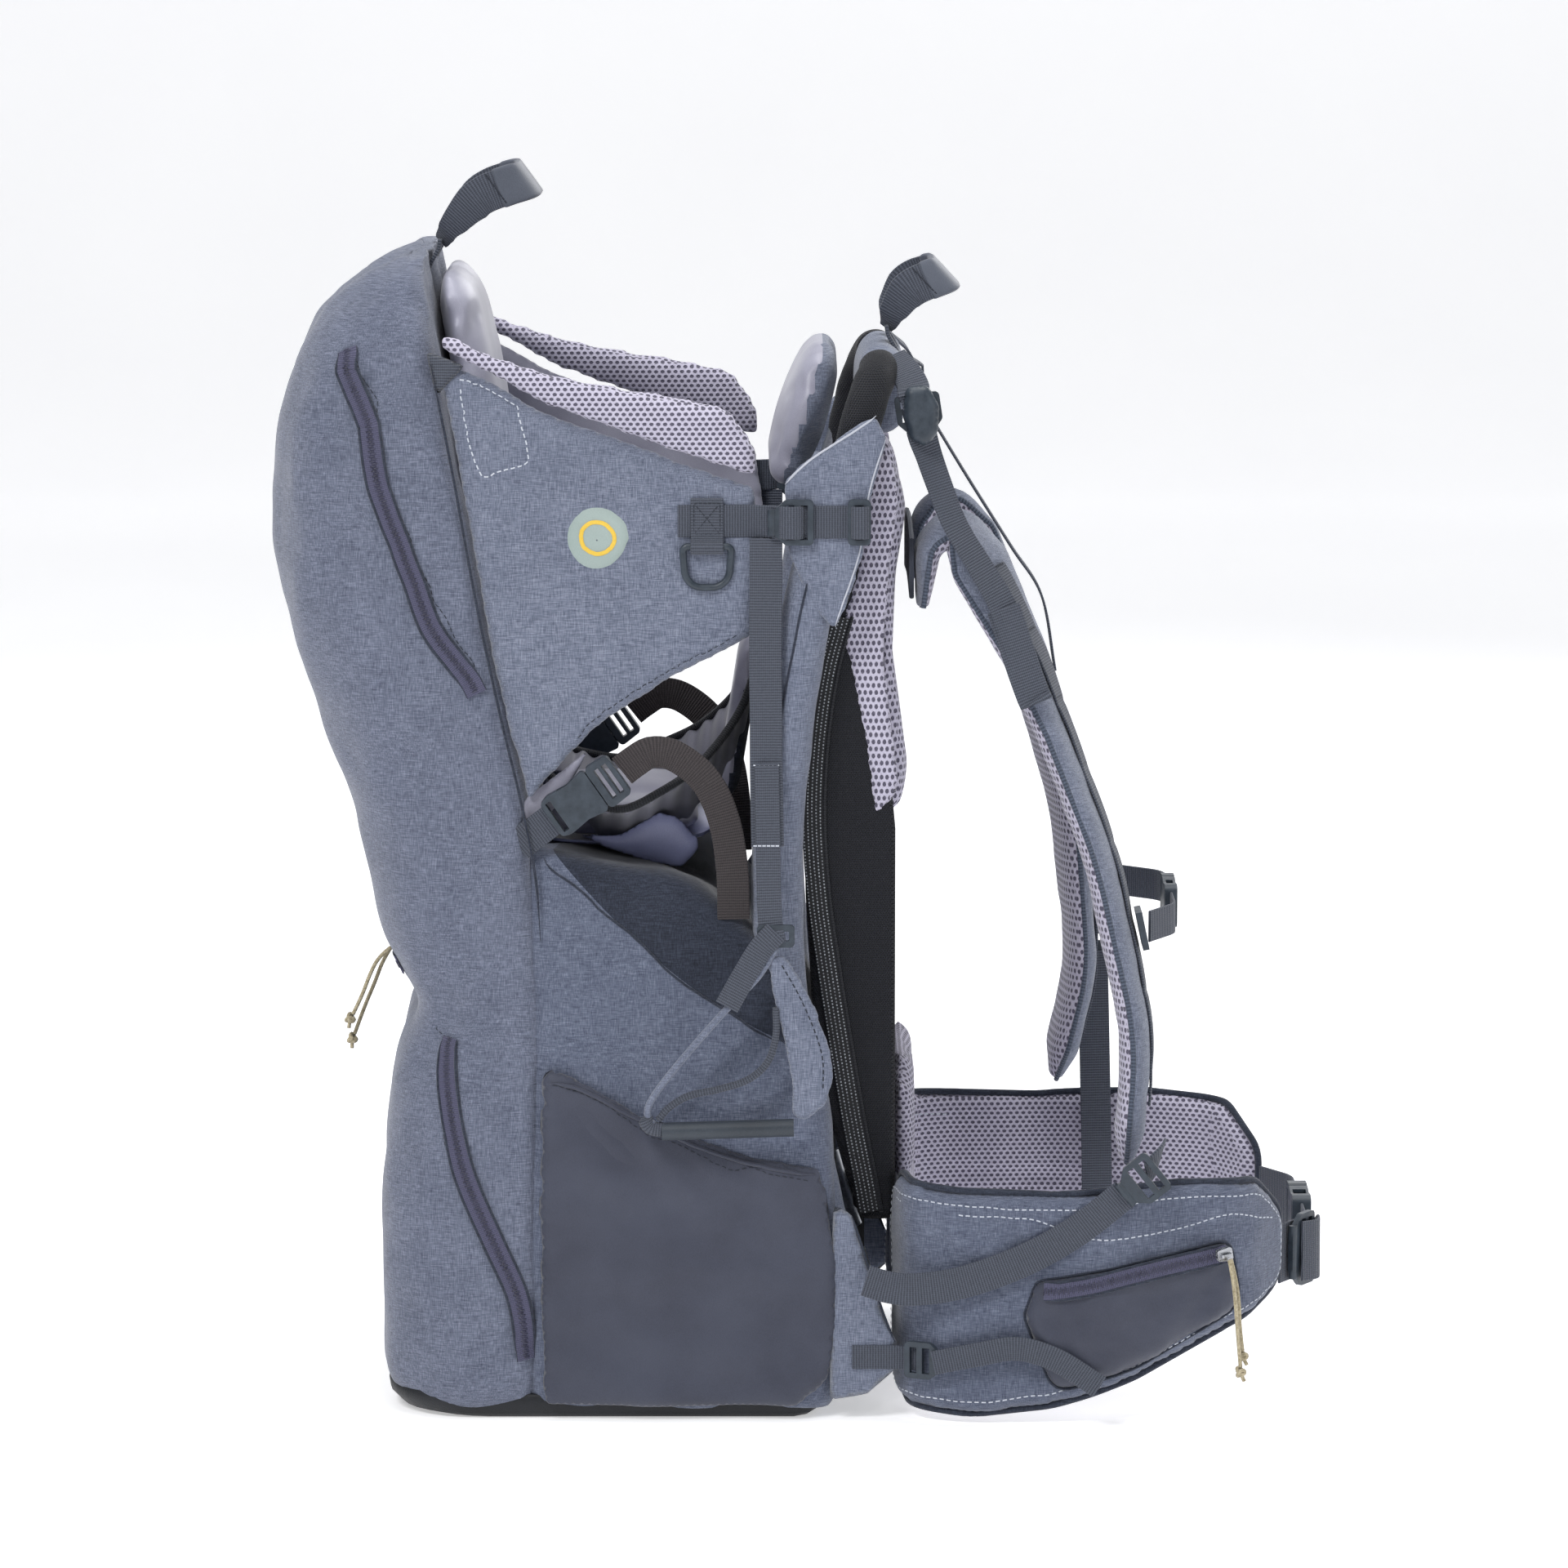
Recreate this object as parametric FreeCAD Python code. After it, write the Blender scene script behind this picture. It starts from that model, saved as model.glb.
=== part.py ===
"""Framed child carrier backpack: a bowed tube frame with a back system, hip belt and shoulder straps on the
wearer's side, and a child's cockpit over a storage bag behind it.

Millimetres. X points the way the wearer walks, Y to the wearer's left, Z up. The origin is the middle of the
bag's base, on the floor. Every sub-part is written to parts/NODE.step.
"""
import FreeCAD
import Part

import math
import os

Vec = FreeCAD.Vector
X_AXIS, Y_AXIS, Z_AXIS = Vec(1, 0, 0), Vec(0, 1, 0), Vec(0, 0, 1)
SIDES = {"right": -1, "left": 1}  # the wearer's sides, and the sign of their Y

# Driving dimensions
GAP = 0.4  # between soft parts that lie against each other
TUBE_R = 10.0  # frame tube
TUBE_WALL = 1.6
FRAME_Y = 125.0  # side tubes from the middle plane
FRAME_LOW = (150.0, 62.0)  # (x, z) of the side tube's lower end, its most bowed point, and its upper end
FRAME_MID = (104.0, 331.0)
FRAME_TOP = (150.0, 600.0)
HOOP_BEND = 50.0  # radius of the hoop's top corners
SLEEVE_R = 16.0  # fabric sleeve round the side tubes
BASE_TUBE_R = 8.0  # tube round the inside of the bag's base
BASE_TUBE_Y = 117.0
BASE_BOLT = (114.0, 19.0)  # (x, z) of the bolts that hold it to the frame's brackets
BASE_REAR = -121.0
BASE_Y = 145.0
BAG_Y = 150.0  # outside of the lower bag
BAG_WALL = 4.0
PACK_Y = 135.0  # outside of the upper pack and the cockpit
WEBBING = 1.6  # thickness of all webbing
WIDE = 20.0  # webbing widths
NARROW = 15.0
BELT_WEB = 38.0
BELT_Y = 165.0  # middle of the hip belt's wing
BELT_PAD = 14.0
HOOP_TOP_BAR = 548.0  # heights of the two bars between the side tubes
HOOP_LOW_BAR = 205.0
BAR_R = 7.0
FOOT_R = 9.0  # tube bent round the hoop's foot
FOOT_BEND = 16.0
BOLT_R = 4.0
BOLT_HEAD_R = 6.5
BRACKET_Y = (-139.0, -128.0)  # right bracket's faces
SLEEVE_Z = (116.0, 575.0)  # ends of the sleeves on the side tubes
BACK_Y = 108.0  # half the back panel's width
GUSSET = 3.0  # thickness of the side nets
COLLAR_Y = 84.0
CUSHION_Y = 96.0
CUSHION_TOP = 716.0
FACE_PAD_Y = 72.0
SIDE_POCKET = 9.0  # how far a side pocket stands out from the bag
POCKET_SKIN = 1.6
HIP_POCKET = 8.4  # how far a hip pocket stands out from the wing
ZIP_TAPE = 13.0
ZIP_PROUD = 1.6
SLIDER_REST = 2.0  # from a tape's back to the slider on its face
PULLER_RISE = 8.8
LIFTER_PLANE = 0.15  # slope of the plane that the right load lifter lies in
LOOP_WEB = 24.0  # carry loops
LOOP_THICK = 2.6

PACK_FRONT = [(-112, 718), (-100, 640), (-75, 500), (-50, 384)]  # (x, z) down the back of the cockpit

STRAP_PATHS = {  # (x, z) down the middle of each shoulder strap, bend radii, and Y at its top and its end
    "right": (
        [(197, 538), (213, 553), (258, 470), (305, 345), (328, 235), (321, 158)],
        [16, 120, 300, 200],
        (-78, -121),
    ),
    "left": (
        [(197, 538), (213, 553), (256, 470), (292, 350), (302, 245), (285, 170)],
        [16, 120, 300, 150],
        (80, 98),
    ),
}
STRAP_WIDTH = 62.0
STRAP_PAD = 19.0
# (x, y) along the right wing of the hip belt
BELT_PATH = [(182, -114), (188, -146), (215, -157), (300, -161), (392, -132), (418, -92)]
BELT_BENDS = [26, 60, 80, 40]

HIP_ZIP = (312.0, 379.0)  # X where the pocket zip's straight run starts and ends
HIP_ZIP_Z = (96.5, 107.5)
REAR_ZIP = (-131.9, 272.5)  # (x, z) of the lower zip where it crosses the back of the bag
ARCH_ZIP = [(-81, 448), (-112, 532)]  # (x, z) of the upper zip's lowest straight run

# Cords: the points of each strand, from its slider to its knot
CORD_R = 1.25
KNOT_R = 3.6
CORDS = {
    "zip_cord_lower_a": [
        (-142.6, -1.8, 272.0), (-150, -2.2, 266.5), (-156, -3, 255), (-161, -3.6, 241), (-167, -3.4, 229),
    ],
    "zip_cord_lower_b": [
        (-142.6, 1.8, 271.5), (-148, 2.4, 263), (-153, 3.2, 249), (-160, 3.6, 233), (-166.5, 3.2, 215),
    ],
    "zip_cord_hip_a": [
        (382.6, -165.4, 105), (384.5, -168, 96), (386.5, -168.6, 79), (388, -167.6, 59), (390, -167.2, 38),
    ],
    "zip_cord_hip_b": [
        (383.6, -162.4, 105), (386.5, -163.6, 95), (389, -164, 77), (389.5, -163, 62), (391.5, -162.4, 47),
    ],
}

# Webbing and buckles
DRING_BAR = (61.0, -139.6, 544.5)
DRING_R = 2.2
STIRRUP_TOP = (103.0, -168.5, 301.0)
LEG_BUCKLE = (-22.0, -134.0, 384.0)
LEG_ALONG = Vec(0.82, 0, 0.57)
STERNUM = (353.0, -9.5, 302.0)
HIP_BUCKLE = (438.0, -9.5, 92.0)
REAR_HAUL = (-106.0, 722.0)  # (x, z) that each carry loop leans from
FRONT_HAUL = (172.0, 668.0)
SOCKET_REACH = 18.0  # from a socket's middle to its mouth
STERNUM_CLIPS = [(328.2, -105), (311.6, 92)]  # (x, y) of the clips on the right and left straps
STAY_TAIL = [(204, 32), (206, 46), (250, 57), (262, 54), (304, 32), (299, 18), (256, 39), (246, 42)]  # (x, z)


# Shapes -----------------------------------------------------------------------------------------

def fillet_path(points, radii):
    """Straight runs joined by tangent arcs through a list of points. A radius of 0 leaves a corner sharp."""
    points = [Vec(*p) for p in points]
    edges = []
    start = points[0]
    for i in range(1, len(points) - 1):
        back = (points[i - 1] - points[i]).normalize()
        ahead = (points[i + 1] - points[i]).normalize()
        half = back.getAngle(ahead) / 2
        radius = radii[i - 1] if isinstance(radii, (list, tuple)) else radii
        if radius <= 0 or half > math.pi / 2 - 1e-4:
            edges.append(Part.LineSegment(start, points[i]).toShape())
            start = points[i]
            continue
        reach = radius / math.tan(half)
        first, last = points[i] + back * reach, points[i] + ahead * reach
        centre = points[i] + (back + ahead).normalize() * (radius / math.sin(half))
        middle = centre + (points[i] - centre).normalize() * radius
        if (first - start).Length > 1e-4:
            edges.append(Part.LineSegment(start, first).toShape())
        edges.append(Part.Arc(first, middle, last).toShape())
        start = last
    if (points[-1] - start).Length > 1e-4:
        edges.append(Part.LineSegment(start, points[-1]).toShape())
    return Part.Wire(edges)


def outline(corners, place):
    """A closed wire through (u, v, radius) corners; place turns (u, v) into a point. Short runs get tighter bends."""
    flat = [(c[0], c[1], c[2] if len(c) > 2 else 0.0) for c in corners]
    n = len(flat)
    radii = []
    for i, (u, v, radius) in enumerate(flat):
        (u0, v0, _), (u1, v1, _) = flat[i - 1], flat[(i + 1) % n]
        run0, run1 = math.hypot(u - u0, v - v0), math.hypot(u1 - u, v1 - v)
        cosine = ((u0 - u) * (u1 - u) + (v0 - v) * (v1 - v)) / (run0 * run1)
        half = math.acos(max(-1.0, min(1.0, cosine))) / 2
        radii.append(min(radius, 0.48 * min(run0, run1) * math.tan(half)))
    middle = ((flat[-1][0] + flat[0][0]) / 2, (flat[-1][1] + flat[0][1]) / 2)
    points = [place(*middle)] + [place(u, v) for u, v, _ in flat] + [place(*middle)]
    return fillet_path([tuple(p) for p in points], radii)


def side_prism(corners, y_low, y_high):
    """An outline of (x, z, radius) corners, extruded between two values of Y."""
    wire = outline(corners, lambda u, v: Vec(u, y_low, v))
    return Part.Face(wire).extrude(Vec(0, y_high - y_low, 0))


def plan_prism(corners, z_low, z_high):
    """An outline of (x, y, radius) corners, extruded between two values of Z."""
    wire = outline(corners, lambda u, v: Vec(u, v, z_low))
    return Part.Face(wire).extrude(Vec(0, 0, z_high - z_low))


def front_prism(corners, x_low, x_high):
    """An outline of (y, z, radius) corners, extruded between two values of X."""
    wire = outline(corners, lambda u, v: Vec(x_low, u, v))
    return Part.Face(wire).extrude(Vec(x_high - x_low, 0, 0))


def box(x, y, z):
    """A box between the two values given for each axis."""
    return Part.makeBox(x[1] - x[0], y[1] - y[0], z[1] - z[0], Vec(x[0], y[0], z[0]))


def rod(start, end, radius):
    start, end = Vec(*start), Vec(*end)
    return Part.makeCylinder(radius, (end - start).Length, start, end - start)


def sweep_round(wire, radius):
    """A solid round bar along a wire."""
    edge = wire.OrderedEdges[0]
    start = edge.valueAt(edge.FirstParameter)
    along = edge.tangentAt(edge.FirstParameter)
    if (start - wire.OrderedVertexes[0].Point).Length > 1e-6:
        start = edge.valueAt(edge.LastParameter)
        along = edge.tangentAt(edge.LastParameter) * -1
    ring = Part.Wire(Part.makeCircle(radius, start, along))
    return wire.makePipeShell([ring], True, False)


def ribbon(points, radii, width, thickness, across):
    """A flat strap along a path in one plane; across is the plane's normal, and the strap's width runs along it."""
    wire = fillet_path(points, radii)
    first, second = Vec(*points[0]), Vec(*points[1])
    along = (second - first).normalize()
    side = along.cross(across).normalize() * (thickness / 2)
    half = across * (width / 2)
    ends = [first - half - side, first + half - side, first + half + side, first - half + side]
    profile = Part.makePolygon(ends + [ends[0]])
    return wire.makePipeShell([profile], True, False)


def ring(outer, inner, y_low, y_high):
    """A flat ring: a side outline with another cut from it."""
    margin = 1.0
    return side_prism(outer, y_low, y_high).cut(side_prism(inner, y_low - margin, y_high + margin))


def put(shape, at, along=X_AXIS, up=Z_AXIS):
    """Moves a shape made round its own origin: its X turns to along, and its Z as near to up as it can."""
    along = Vec(along).normalize()
    across = Vec(up).cross(along).normalize()
    up = along.cross(across)
    matrix = FreeCAD.Matrix(
        along.x, across.x, up.x, at[0],
        along.y, across.y, up.y, at[1],
        along.z, across.z, up.z, at[2],
        0, 0, 0, 1,
    )
    return shape.transformGeometry(matrix)


def mirrored(shape):
    return shape.mirror(Vec(0, 0, 0), Y_AXIS)


def on_side(shape, sign):
    """A shape made for the wearer's right side, mirrored if it is for the left."""
    return shape if sign < 0 else mirrored(shape)


# Frame ------------------------------------------------------------------------------------------

def side_arc(sign):
    low, mid, top = (Vec(x, sign * FRAME_Y, z) for x, z in (FRAME_LOW, FRAME_MID, FRAME_TOP))
    return Part.Arc(low, mid, top).toShape()


def sleeve_space():
    """The space that the side tubes' sleeves take up, with a little air round it."""
    spaces = [sweep_round(Part.Wire([side_arc(sign)]), SLEEVE_R + 0.5) for sign in SIDES.values()]
    return spaces[0].fuse(spaces[1])


def frame_x(z):
    """X of the side tube's centre at a height."""
    half = (FRAME_TOP[1] - FRAME_LOW[1]) / 2
    bow = FRAME_LOW[0] - FRAME_MID[0]
    radius = (half * half + bow * bow) / (2 * bow)
    return FRAME_MID[0] + radius - math.sqrt(radius * radius - (z - FRAME_MID[1]) ** 2)


def hoop_wire():
    """One bowed side, the bent top and the other side."""
    right = side_arc(-1)
    rise = right.tangentAt(right.LastParameter)
    corner = Vec(FRAME_TOP[0], -FRAME_Y, FRAME_TOP[1])
    centre = corner + Y_AXIS * HOOP_BEND
    middle = centre + (rise - Y_AXIS).normalize() * HOOP_BEND
    crest = centre + rise * HOOP_BEND
    bend = Part.Arc(corner, middle, crest).toShape()
    over = Vec(crest.x, -crest.y, crest.z)
    edges = [right, bend, Part.LineSegment(crest, over).toShape()]
    edges.append(Part.Arc(over, Vec(middle.x, -middle.y, middle.z), Vec(corner.x, -corner.y, corner.z)).toShape())
    edges.append(side_arc(1))
    return Part.Wire(Part.sortEdges(edges)[0])


def frame_parts():
    wire = hoop_wire()
    hoop_solid = sweep_round(wire, TUBE_R)
    foot_wire = fillet_path(
        [(153, -FRAME_Y, 46), (160, -FRAME_Y, 22), (160, FRAME_Y, 22), (153, FRAME_Y, 46)], FOOT_BEND
    )
    foot_solid = sweep_round(foot_wire, FOOT_R)
    bars = []
    for z in (HOOP_TOP_BAR, HOOP_LOW_BAR):
        bars.append(rod((frame_x(z), -FRAME_Y, z), (frame_x(z), FRAME_Y, z), BAR_R).cut(hoop_solid))
    parts = {"frame_hoop": hoop_solid.cut(sweep_round(wire, TUBE_R - TUBE_WALL))}
    parts["crossbars"] = Part.Compound(bars + [foot_solid.cut(sweep_round(foot_wire, FOOT_R - TUBE_WALL))])
    parts["frame_sleeves"] = Part.Compound(frame_sleeves(hoop_solid, bars) + stay_panels())
    parts.update(bracket_parts(hoop_solid, foot_solid))
    parts["base_tube"] = base_tube()
    return parts, hoop_solid


def bolt_hole():
    x, z = BASE_BOLT
    return rod((x, -140, z), (x, -100, z), BOLT_R + 0.05)


def bracket_parts(hoop_solid, foot_solid):
    """The brackets at the frame's foot, and the bolts that hold the base tube to them."""
    x, z = BASE_BOLT
    plate = [(98, 9.2, 6), (130, 9.2, 6), (161, 44, 6), (161, 100, 6), (124, 100, 6), (122, 60, 8), (98, 34, 8)]
    bracket = side_prism(plate, *BRACKET_Y).cut(hoop_solid).cut(foot_solid).cut(bolt_hole())
    head_y = BRACKET_Y[0] - 3.5
    bolt = rod((x, BRACKET_Y[0] - 2.5, z), (x, -106, z), BOLT_R)
    bolt = bolt.fuse(rod((x, head_y, z), (x, head_y + 3.2, z), BOLT_HEAD_R)).removeSplitter()
    return {
        "base_brackets": Part.Compound([on_side(bracket, sign) for sign in SIDES.values()]),
        "base_bolts": Part.Compound([on_side(bolt, sign) for sign in SIDES.values()]),
    }


def frame_sleeves(hoop_solid, bars):
    """The fabric sleeves on the side tubes, open where the bars go in."""
    sleeves = []
    window = box((60, 220), (-160, 160), SLEEVE_Z)
    for sign in SIDES.values():
        sleeve = sweep_round(Part.Wire([side_arc(sign)]), SLEEVE_R).cut(hoop_solid).common(window)
        for bar in bars:
            sleeve = sleeve.cut(bar)
        sleeves.append(sleeve)
    return sleeves


def base_tube():
    """The bent tube round the inside of the bag's base, with a bored knuckle at each end."""
    x, z = BASE_BOLT
    corners = [(x, -BASE_TUBE_Y, z), (BASE_REAR, -BASE_TUBE_Y, z), (BASE_REAR, BASE_TUBE_Y, z), (x, BASE_TUBE_Y, z)]
    wire = fillet_path(corners, 40.0)
    tube = sweep_round(wire, BASE_TUBE_R).cut(sweep_round(wire, BASE_TUBE_R - 1.4))
    knuckle = rod((x, -127.6, z), (x, -106, z), BASE_TUBE_R + TUBE_WALL)
    tube = tube.fuse([knuckle, mirrored(knuckle)])
    return tube.cut(bolt_hole()).cut(mirrored(bolt_hole())).removeSplitter()


# Back system ------------------------------------------------------------------------------------

def back_parts(hoop_solid):
    parts = {}
    slab = [(148, 118, 6), (178, 118, 8), (178, 366, 4), (167, 372, 4), (167, 596, 6), (151, 596, 6), (151, 380, 20)]
    parts["back_panel"] = side_prism(slab, -BACK_Y, BACK_Y)
    gusset = [(160, 120), (176, 120, 6), (176, 366, 10), (166, 480, 10), (154, 560), (147, 560)]
    gusset += [(124, 480, 300), (121, 330, 300), (128, 210, 300)]
    pad = [(168, 372.5, 5), (182, 380, 10), (184, 560, 10), (176, 598, 8), (168, 598, 4)]
    gusset_solid = side_prism(gusset, -BACK_Y - GAP - GUSSET, -BACK_Y - GAP).cut(hoop_solid).cut(sleeve_space())
    pad_solid = side_prism(pad, -BACK_Y + 1, -40)
    parts["mesh_gussets"] = Part.Compound([on_side(gusset_solid, sign) for sign in SIDES.values()])
    parts["back_pads"] = Part.Compound([on_side(pad_solid, sign) for sign in SIDES.values()])
    lumbar = [(178.4, 132, 4), (190, 140, 10), (188, 205, 10), (178.4, 222, 4)]
    parts["lumbar_pad"] = side_prism(lumbar, -92, 92)
    collar = [(154, 603, 6), (182, 603, 8), (186, 640, 16), (178, 664, 8), (160, 664, 8), (152, 632, 10)]
    parts["top_collar"] = side_prism(collar, -COLLAR_Y, COLLAR_Y).cut(hoop_solid)
    return parts


# Child's pack -----------------------------------------------------------------------------------

def pack_parts():
    """Rear pack, backrest, cockpit, lower bag and seat."""
    parts = {"rear_pack": rear_pack()}
    parts.update(cockpit_parts())
    parts.update(lower_bag_parts())
    parts.update(seat_parts())
    return parts


def rear_pack():
    """The upper bag: a closed shell with rounded shoulders."""
    rear = [(-55, 262, 4), (-126, 262, 10), (-168, 400, 120), (-212, 520, 60), (-210, 630, 60), (-160, 712, 50)]
    outer = side_prism(rear + PACK_FRONT + [(-51, 340)], -PACK_Y, PACK_Y)
    plan = [(-230, -PACK_Y, 60), (0, -PACK_Y), (0, PACK_Y), (-230, PACK_Y, 60)]
    width = [(-PACK_Y, 200), (PACK_Y, 200), (PACK_Y, 640, 90), (105, 740, 60), (-105, 740, 60), (-PACK_Y, 640, 90)]
    outer = outer.common(plan_prism(plan, 200, 760)).common(front_prism(width, -260, 20))
    wall = BAG_WALL
    hollow_rear = [(-60, 268, 4), (-122, 268, 8), (-160, 400, 100), (-206, 520, 55), (-204, 628, 55), (-156, 700, 44)]
    hollow_front = [(-120, 704), (-105, 638), (-80, 498), (-55, 384)]
    hollow_plan = [(-224, -PACK_Y + wall, 56), (0, -PACK_Y + wall), (0, PACK_Y - wall), (-224, PACK_Y - wall, 56)]
    hollow = side_prism(hollow_rear + hollow_front, -PACK_Y + wall, PACK_Y - wall)
    inner_width = [(-131, 200), (131, 200), (131, 640, 86), (101, 730, 56), (-101, 730, 56), (-131, 640, 86)]
    hollow = hollow.common(plan_prism(hollow_plan, 200, 760)).common(front_prism(inner_width, -260, 20))
    return outer.cut(hollow)


def cockpit_parts():
    """The backrest cushion, and the walls and padded rims at the child's sides."""
    parts = {}
    rest = [(-111, 712, 6), (-92, 704, 16), (-74, 649, 60), (-45, 500, 60), (-24, 404, 10), (-52, 396)]
    rest += [(x + GAP, z) for x, z in reversed(PACK_FRONT[1:3])]
    cushion = [(-92, 300), (92, 300), (92, 690, 50), (60, CUSHION_TOP, 50), (-60, CUSHION_TOP, 50), (-92, 690, 50)]
    parts["backrest_cushion"] = side_prism(rest, -CUSHION_Y, CUSHION_Y).common(front_prism(cushion, -150, 0))
    wall_edge = [(x + GAP, z) for x, z in reversed(PACK_FRONT[1:])] + [(-103, 662)]
    panel = [(-72, 644, 20), (-40, 625, 20), (90, 579, 3), (91, 492, 6), (0, 440, 30), (-25, 414, 20)]
    rim = [(-103, 678, 5), (-70, 662, 20), (75, 631, 10), (91, 608, 8), (95, 583), (90, 580), (-40, 626)]
    rim += [(-72, 645, 20), (-103, 663)]
    wall_solid = side_prism(wall_edge + panel, -PACK_Y, -PACK_Y + 8)
    rim_solid = side_prism(rim, -PACK_Y - 6, -PACK_Y + 14)
    parts["cockpit_walls"] = Part.Compound([on_side(wall_solid, sign) for sign in SIDES.values()])
    parts["cockpit_rims"] = Part.Compound([on_side(rim_solid, sign) for sign in SIDES.values()])
    return parts


def lower_bag_parts():
    parts = {}
    low = 8.0
    rear = [(-130, low, 10), (-142, 40, 30), (-142, 150, 60), (-122, 258, 10), (-50, 258, 6)]
    top = [(-44, 336, 6), (10, 331, 40), (80, 305, 30), (112, 268, 20), (138, 180, 20), (140, low)]
    outer = side_prism(rear + top, -BAG_Y, BAG_Y)
    plan = [(-150, -BAG_Y, 50), (160, -BAG_Y), (160, BAG_Y), (-150, BAG_Y, 50)]
    outer = outer.common(plan_prism(plan, 0, 400))
    t = BAG_WALL
    inner_rear = [(-126, -10), (-138, 40, 26), (-138, 150, 56), (-118, 253, 8), (-44, 253, 6)]
    inner_top = [(-40, 331, 4), (9, 326, 36), (77, 301, 26), (108, 265, 16), (134, 179, 16), (150, 150), (150, -10)]
    inner = side_prism(inner_rear + inner_top, -BAG_Y + t, BAG_Y - t)
    inner_plan = [(-146, -BAG_Y + t, 46), (170, -BAG_Y + t), (170, BAG_Y - t), (-146, BAG_Y - t, 46)]
    bag = outer.cut(inner.common(plan_prism(inner_plan, -20, 400))).cut(sleeve_space())
    parts["lower_bag"] = max(bag.Solids, key=lambda solid: solid.Volume)
    base = [(-136, -BASE_Y, 40), (124, -BASE_Y, 12), (124, BASE_Y, 12), (-136, BASE_Y, 40)]
    parts["base_panel"] = plan_prism(base, 0, 7.6)
    pocket = [(-39, 222, 4), (24, 197, 30), (128, 165, 4), (136, 100, 30), (130, 20, 12), (-40, 14, 4)]
    hollow = [(-35, 240), (124, 240), (124, 165), (131, 100, 28), (125, 26, 8), (-35, 20, 3)]
    y_out, y_in = -BAG_Y - SIDE_POCKET, -BAG_Y - GAP
    y_skin = y_out + POCKET_SKIN
    pouch = side_prism(pocket, y_out, y_in).cut(side_prism(hollow, y_skin, y_in + 1))
    parts["side_pockets"] = Part.Compound([on_side(pouch, sign) for sign in SIDES.values()])
    return parts


def seat_parts():
    saddle = [(-44, 353, 6), (56, 353, 10), (60, 378, 12), (10, 386, 30), (-44, 392, 6)]
    board = [(-44, 349, 2), (-30, 345, 30), (40, 345, 30), (66, 351, 2), (64, 353, 1), (40, 348.6, 30)]
    board += [(-28, 348.6, 30), (-44, 352.6)]
    nose = [(62, 356, 5), (76, 366, 10), (92, 440, 20), (96, 480, 4), (84, 480, 4), (78, 440, 20), (62, 384, 8)]
    return {
        "seat_pad": side_prism(saddle, -62, 62),
        "seat_board": side_prism(board, -76, 76),
        "seat_front": side_prism(nose, -45, 45),
    }


# Small hardware, each made round its own origin ------------------------------------------------------

def ladder_lock(width):
    """A ladder-lock buckle lying in the XY plane: webbing runs along X, and the lifting lip points to -X."""
    w = width / 2
    body = [(-15, -w + 6, 5), (-4, -w - 4, 4), (13, -w - 4, 3), (13, w + 4, 3), (-4, w + 4, 4), (-15, w - 6, 5)]
    plate = plan_prism(body, -1.8, 1.8)
    for x_low, x_high in ((-3.5, 1.2), (5.0, 9.4)):
        plate = plate.cut(box((x_low, x_high), (-w - 0.6, w + 0.6), (-5, 5)))
    lip = Part.makeCylinder(2.6, width - 4, Vec(-12.5, -w + 2, 0.2), Y_AXIS)
    return plate.fuse(lip).removeSplitter()


def web_loop(width):
    """A plain rectangular loop in the XY plane for webbing that runs along X."""
    w = width / 2
    outer = [(-7, -w - 4, 3), (7, -w - 4, 3), (7, w + 4, 3), (-7, w + 4, 3)]
    inner = [(-3, -w - 0.6, 1), (3, -w - 0.6, 1), (3, w + 0.6, 1), (-3, w + 0.6, 1)]
    return plan_prism(outer, -1.8, 1.8).cut(plan_prism(inner, -5, 5))


def buckle_socket(width, depth):
    """The female half of a side-release buckle: open at +X and both sides, with a bar for webbing at -X."""
    w, t = width / 2 + 5, depth / 2
    shell = [(-16, -w + 3, 3), (-10, -w + 1, 6), (4, -w + 2.5, 6), (18, -w, 3)]
    shell += [(x, -y, bend) for x, y, bend in reversed(shell)]
    body = plan_prism(shell, -t, t)
    body = body.cut(box((-6, 20), (-w + 4, w - 4), (-t + 1.8, t - 1.8)))
    body = body.cut(box((-3, 9), (-w - 2, w + 2), (-t + 1.8, t - 1.8)))
    return body.cut(box((-13.2, -9.6), (-width / 2 - 0.4, width / 2 + 0.4), (-t - 1, t + 1)))


def buckle_plug(width, depth):
    """The male half: a cross bar with webbing slots and two arms that point to -X and show at the socket's sides."""
    w, t = width / 2 + 5, depth / 2
    head = [(0.6, -w, 3), (17, -w + 1, 3), (17, w - 1, 3), (0.6, w, 3)]
    plug = plan_prism(head, -t, t)
    for x_low in (5.0, 10.6):
        plug = plug.cut(box((x_low, x_low + 3.2), (-width / 2 - 0.4, width / 2 + 0.4), (-t - 1, t + 1)))
    arm_t = t - 2.3
    arm_w = w - 4.6
    arms = [(1, -arm_w, 0), (1, -arm_w + 4.2, 0), (-12, -arm_w + 4.2, 1.5)]
    arms += [(-20.5, -arm_w + 2.5, 2), (-16, -arm_w, 2)]
    arm = plan_prism(arms, -arm_t, arm_t)
    guide = box((-16, 1), (-1.8, 1.8), (-arm_t, arm_t))
    return plug.fuse([arm, mirrored(arm), guide]).removeSplitter()


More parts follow.
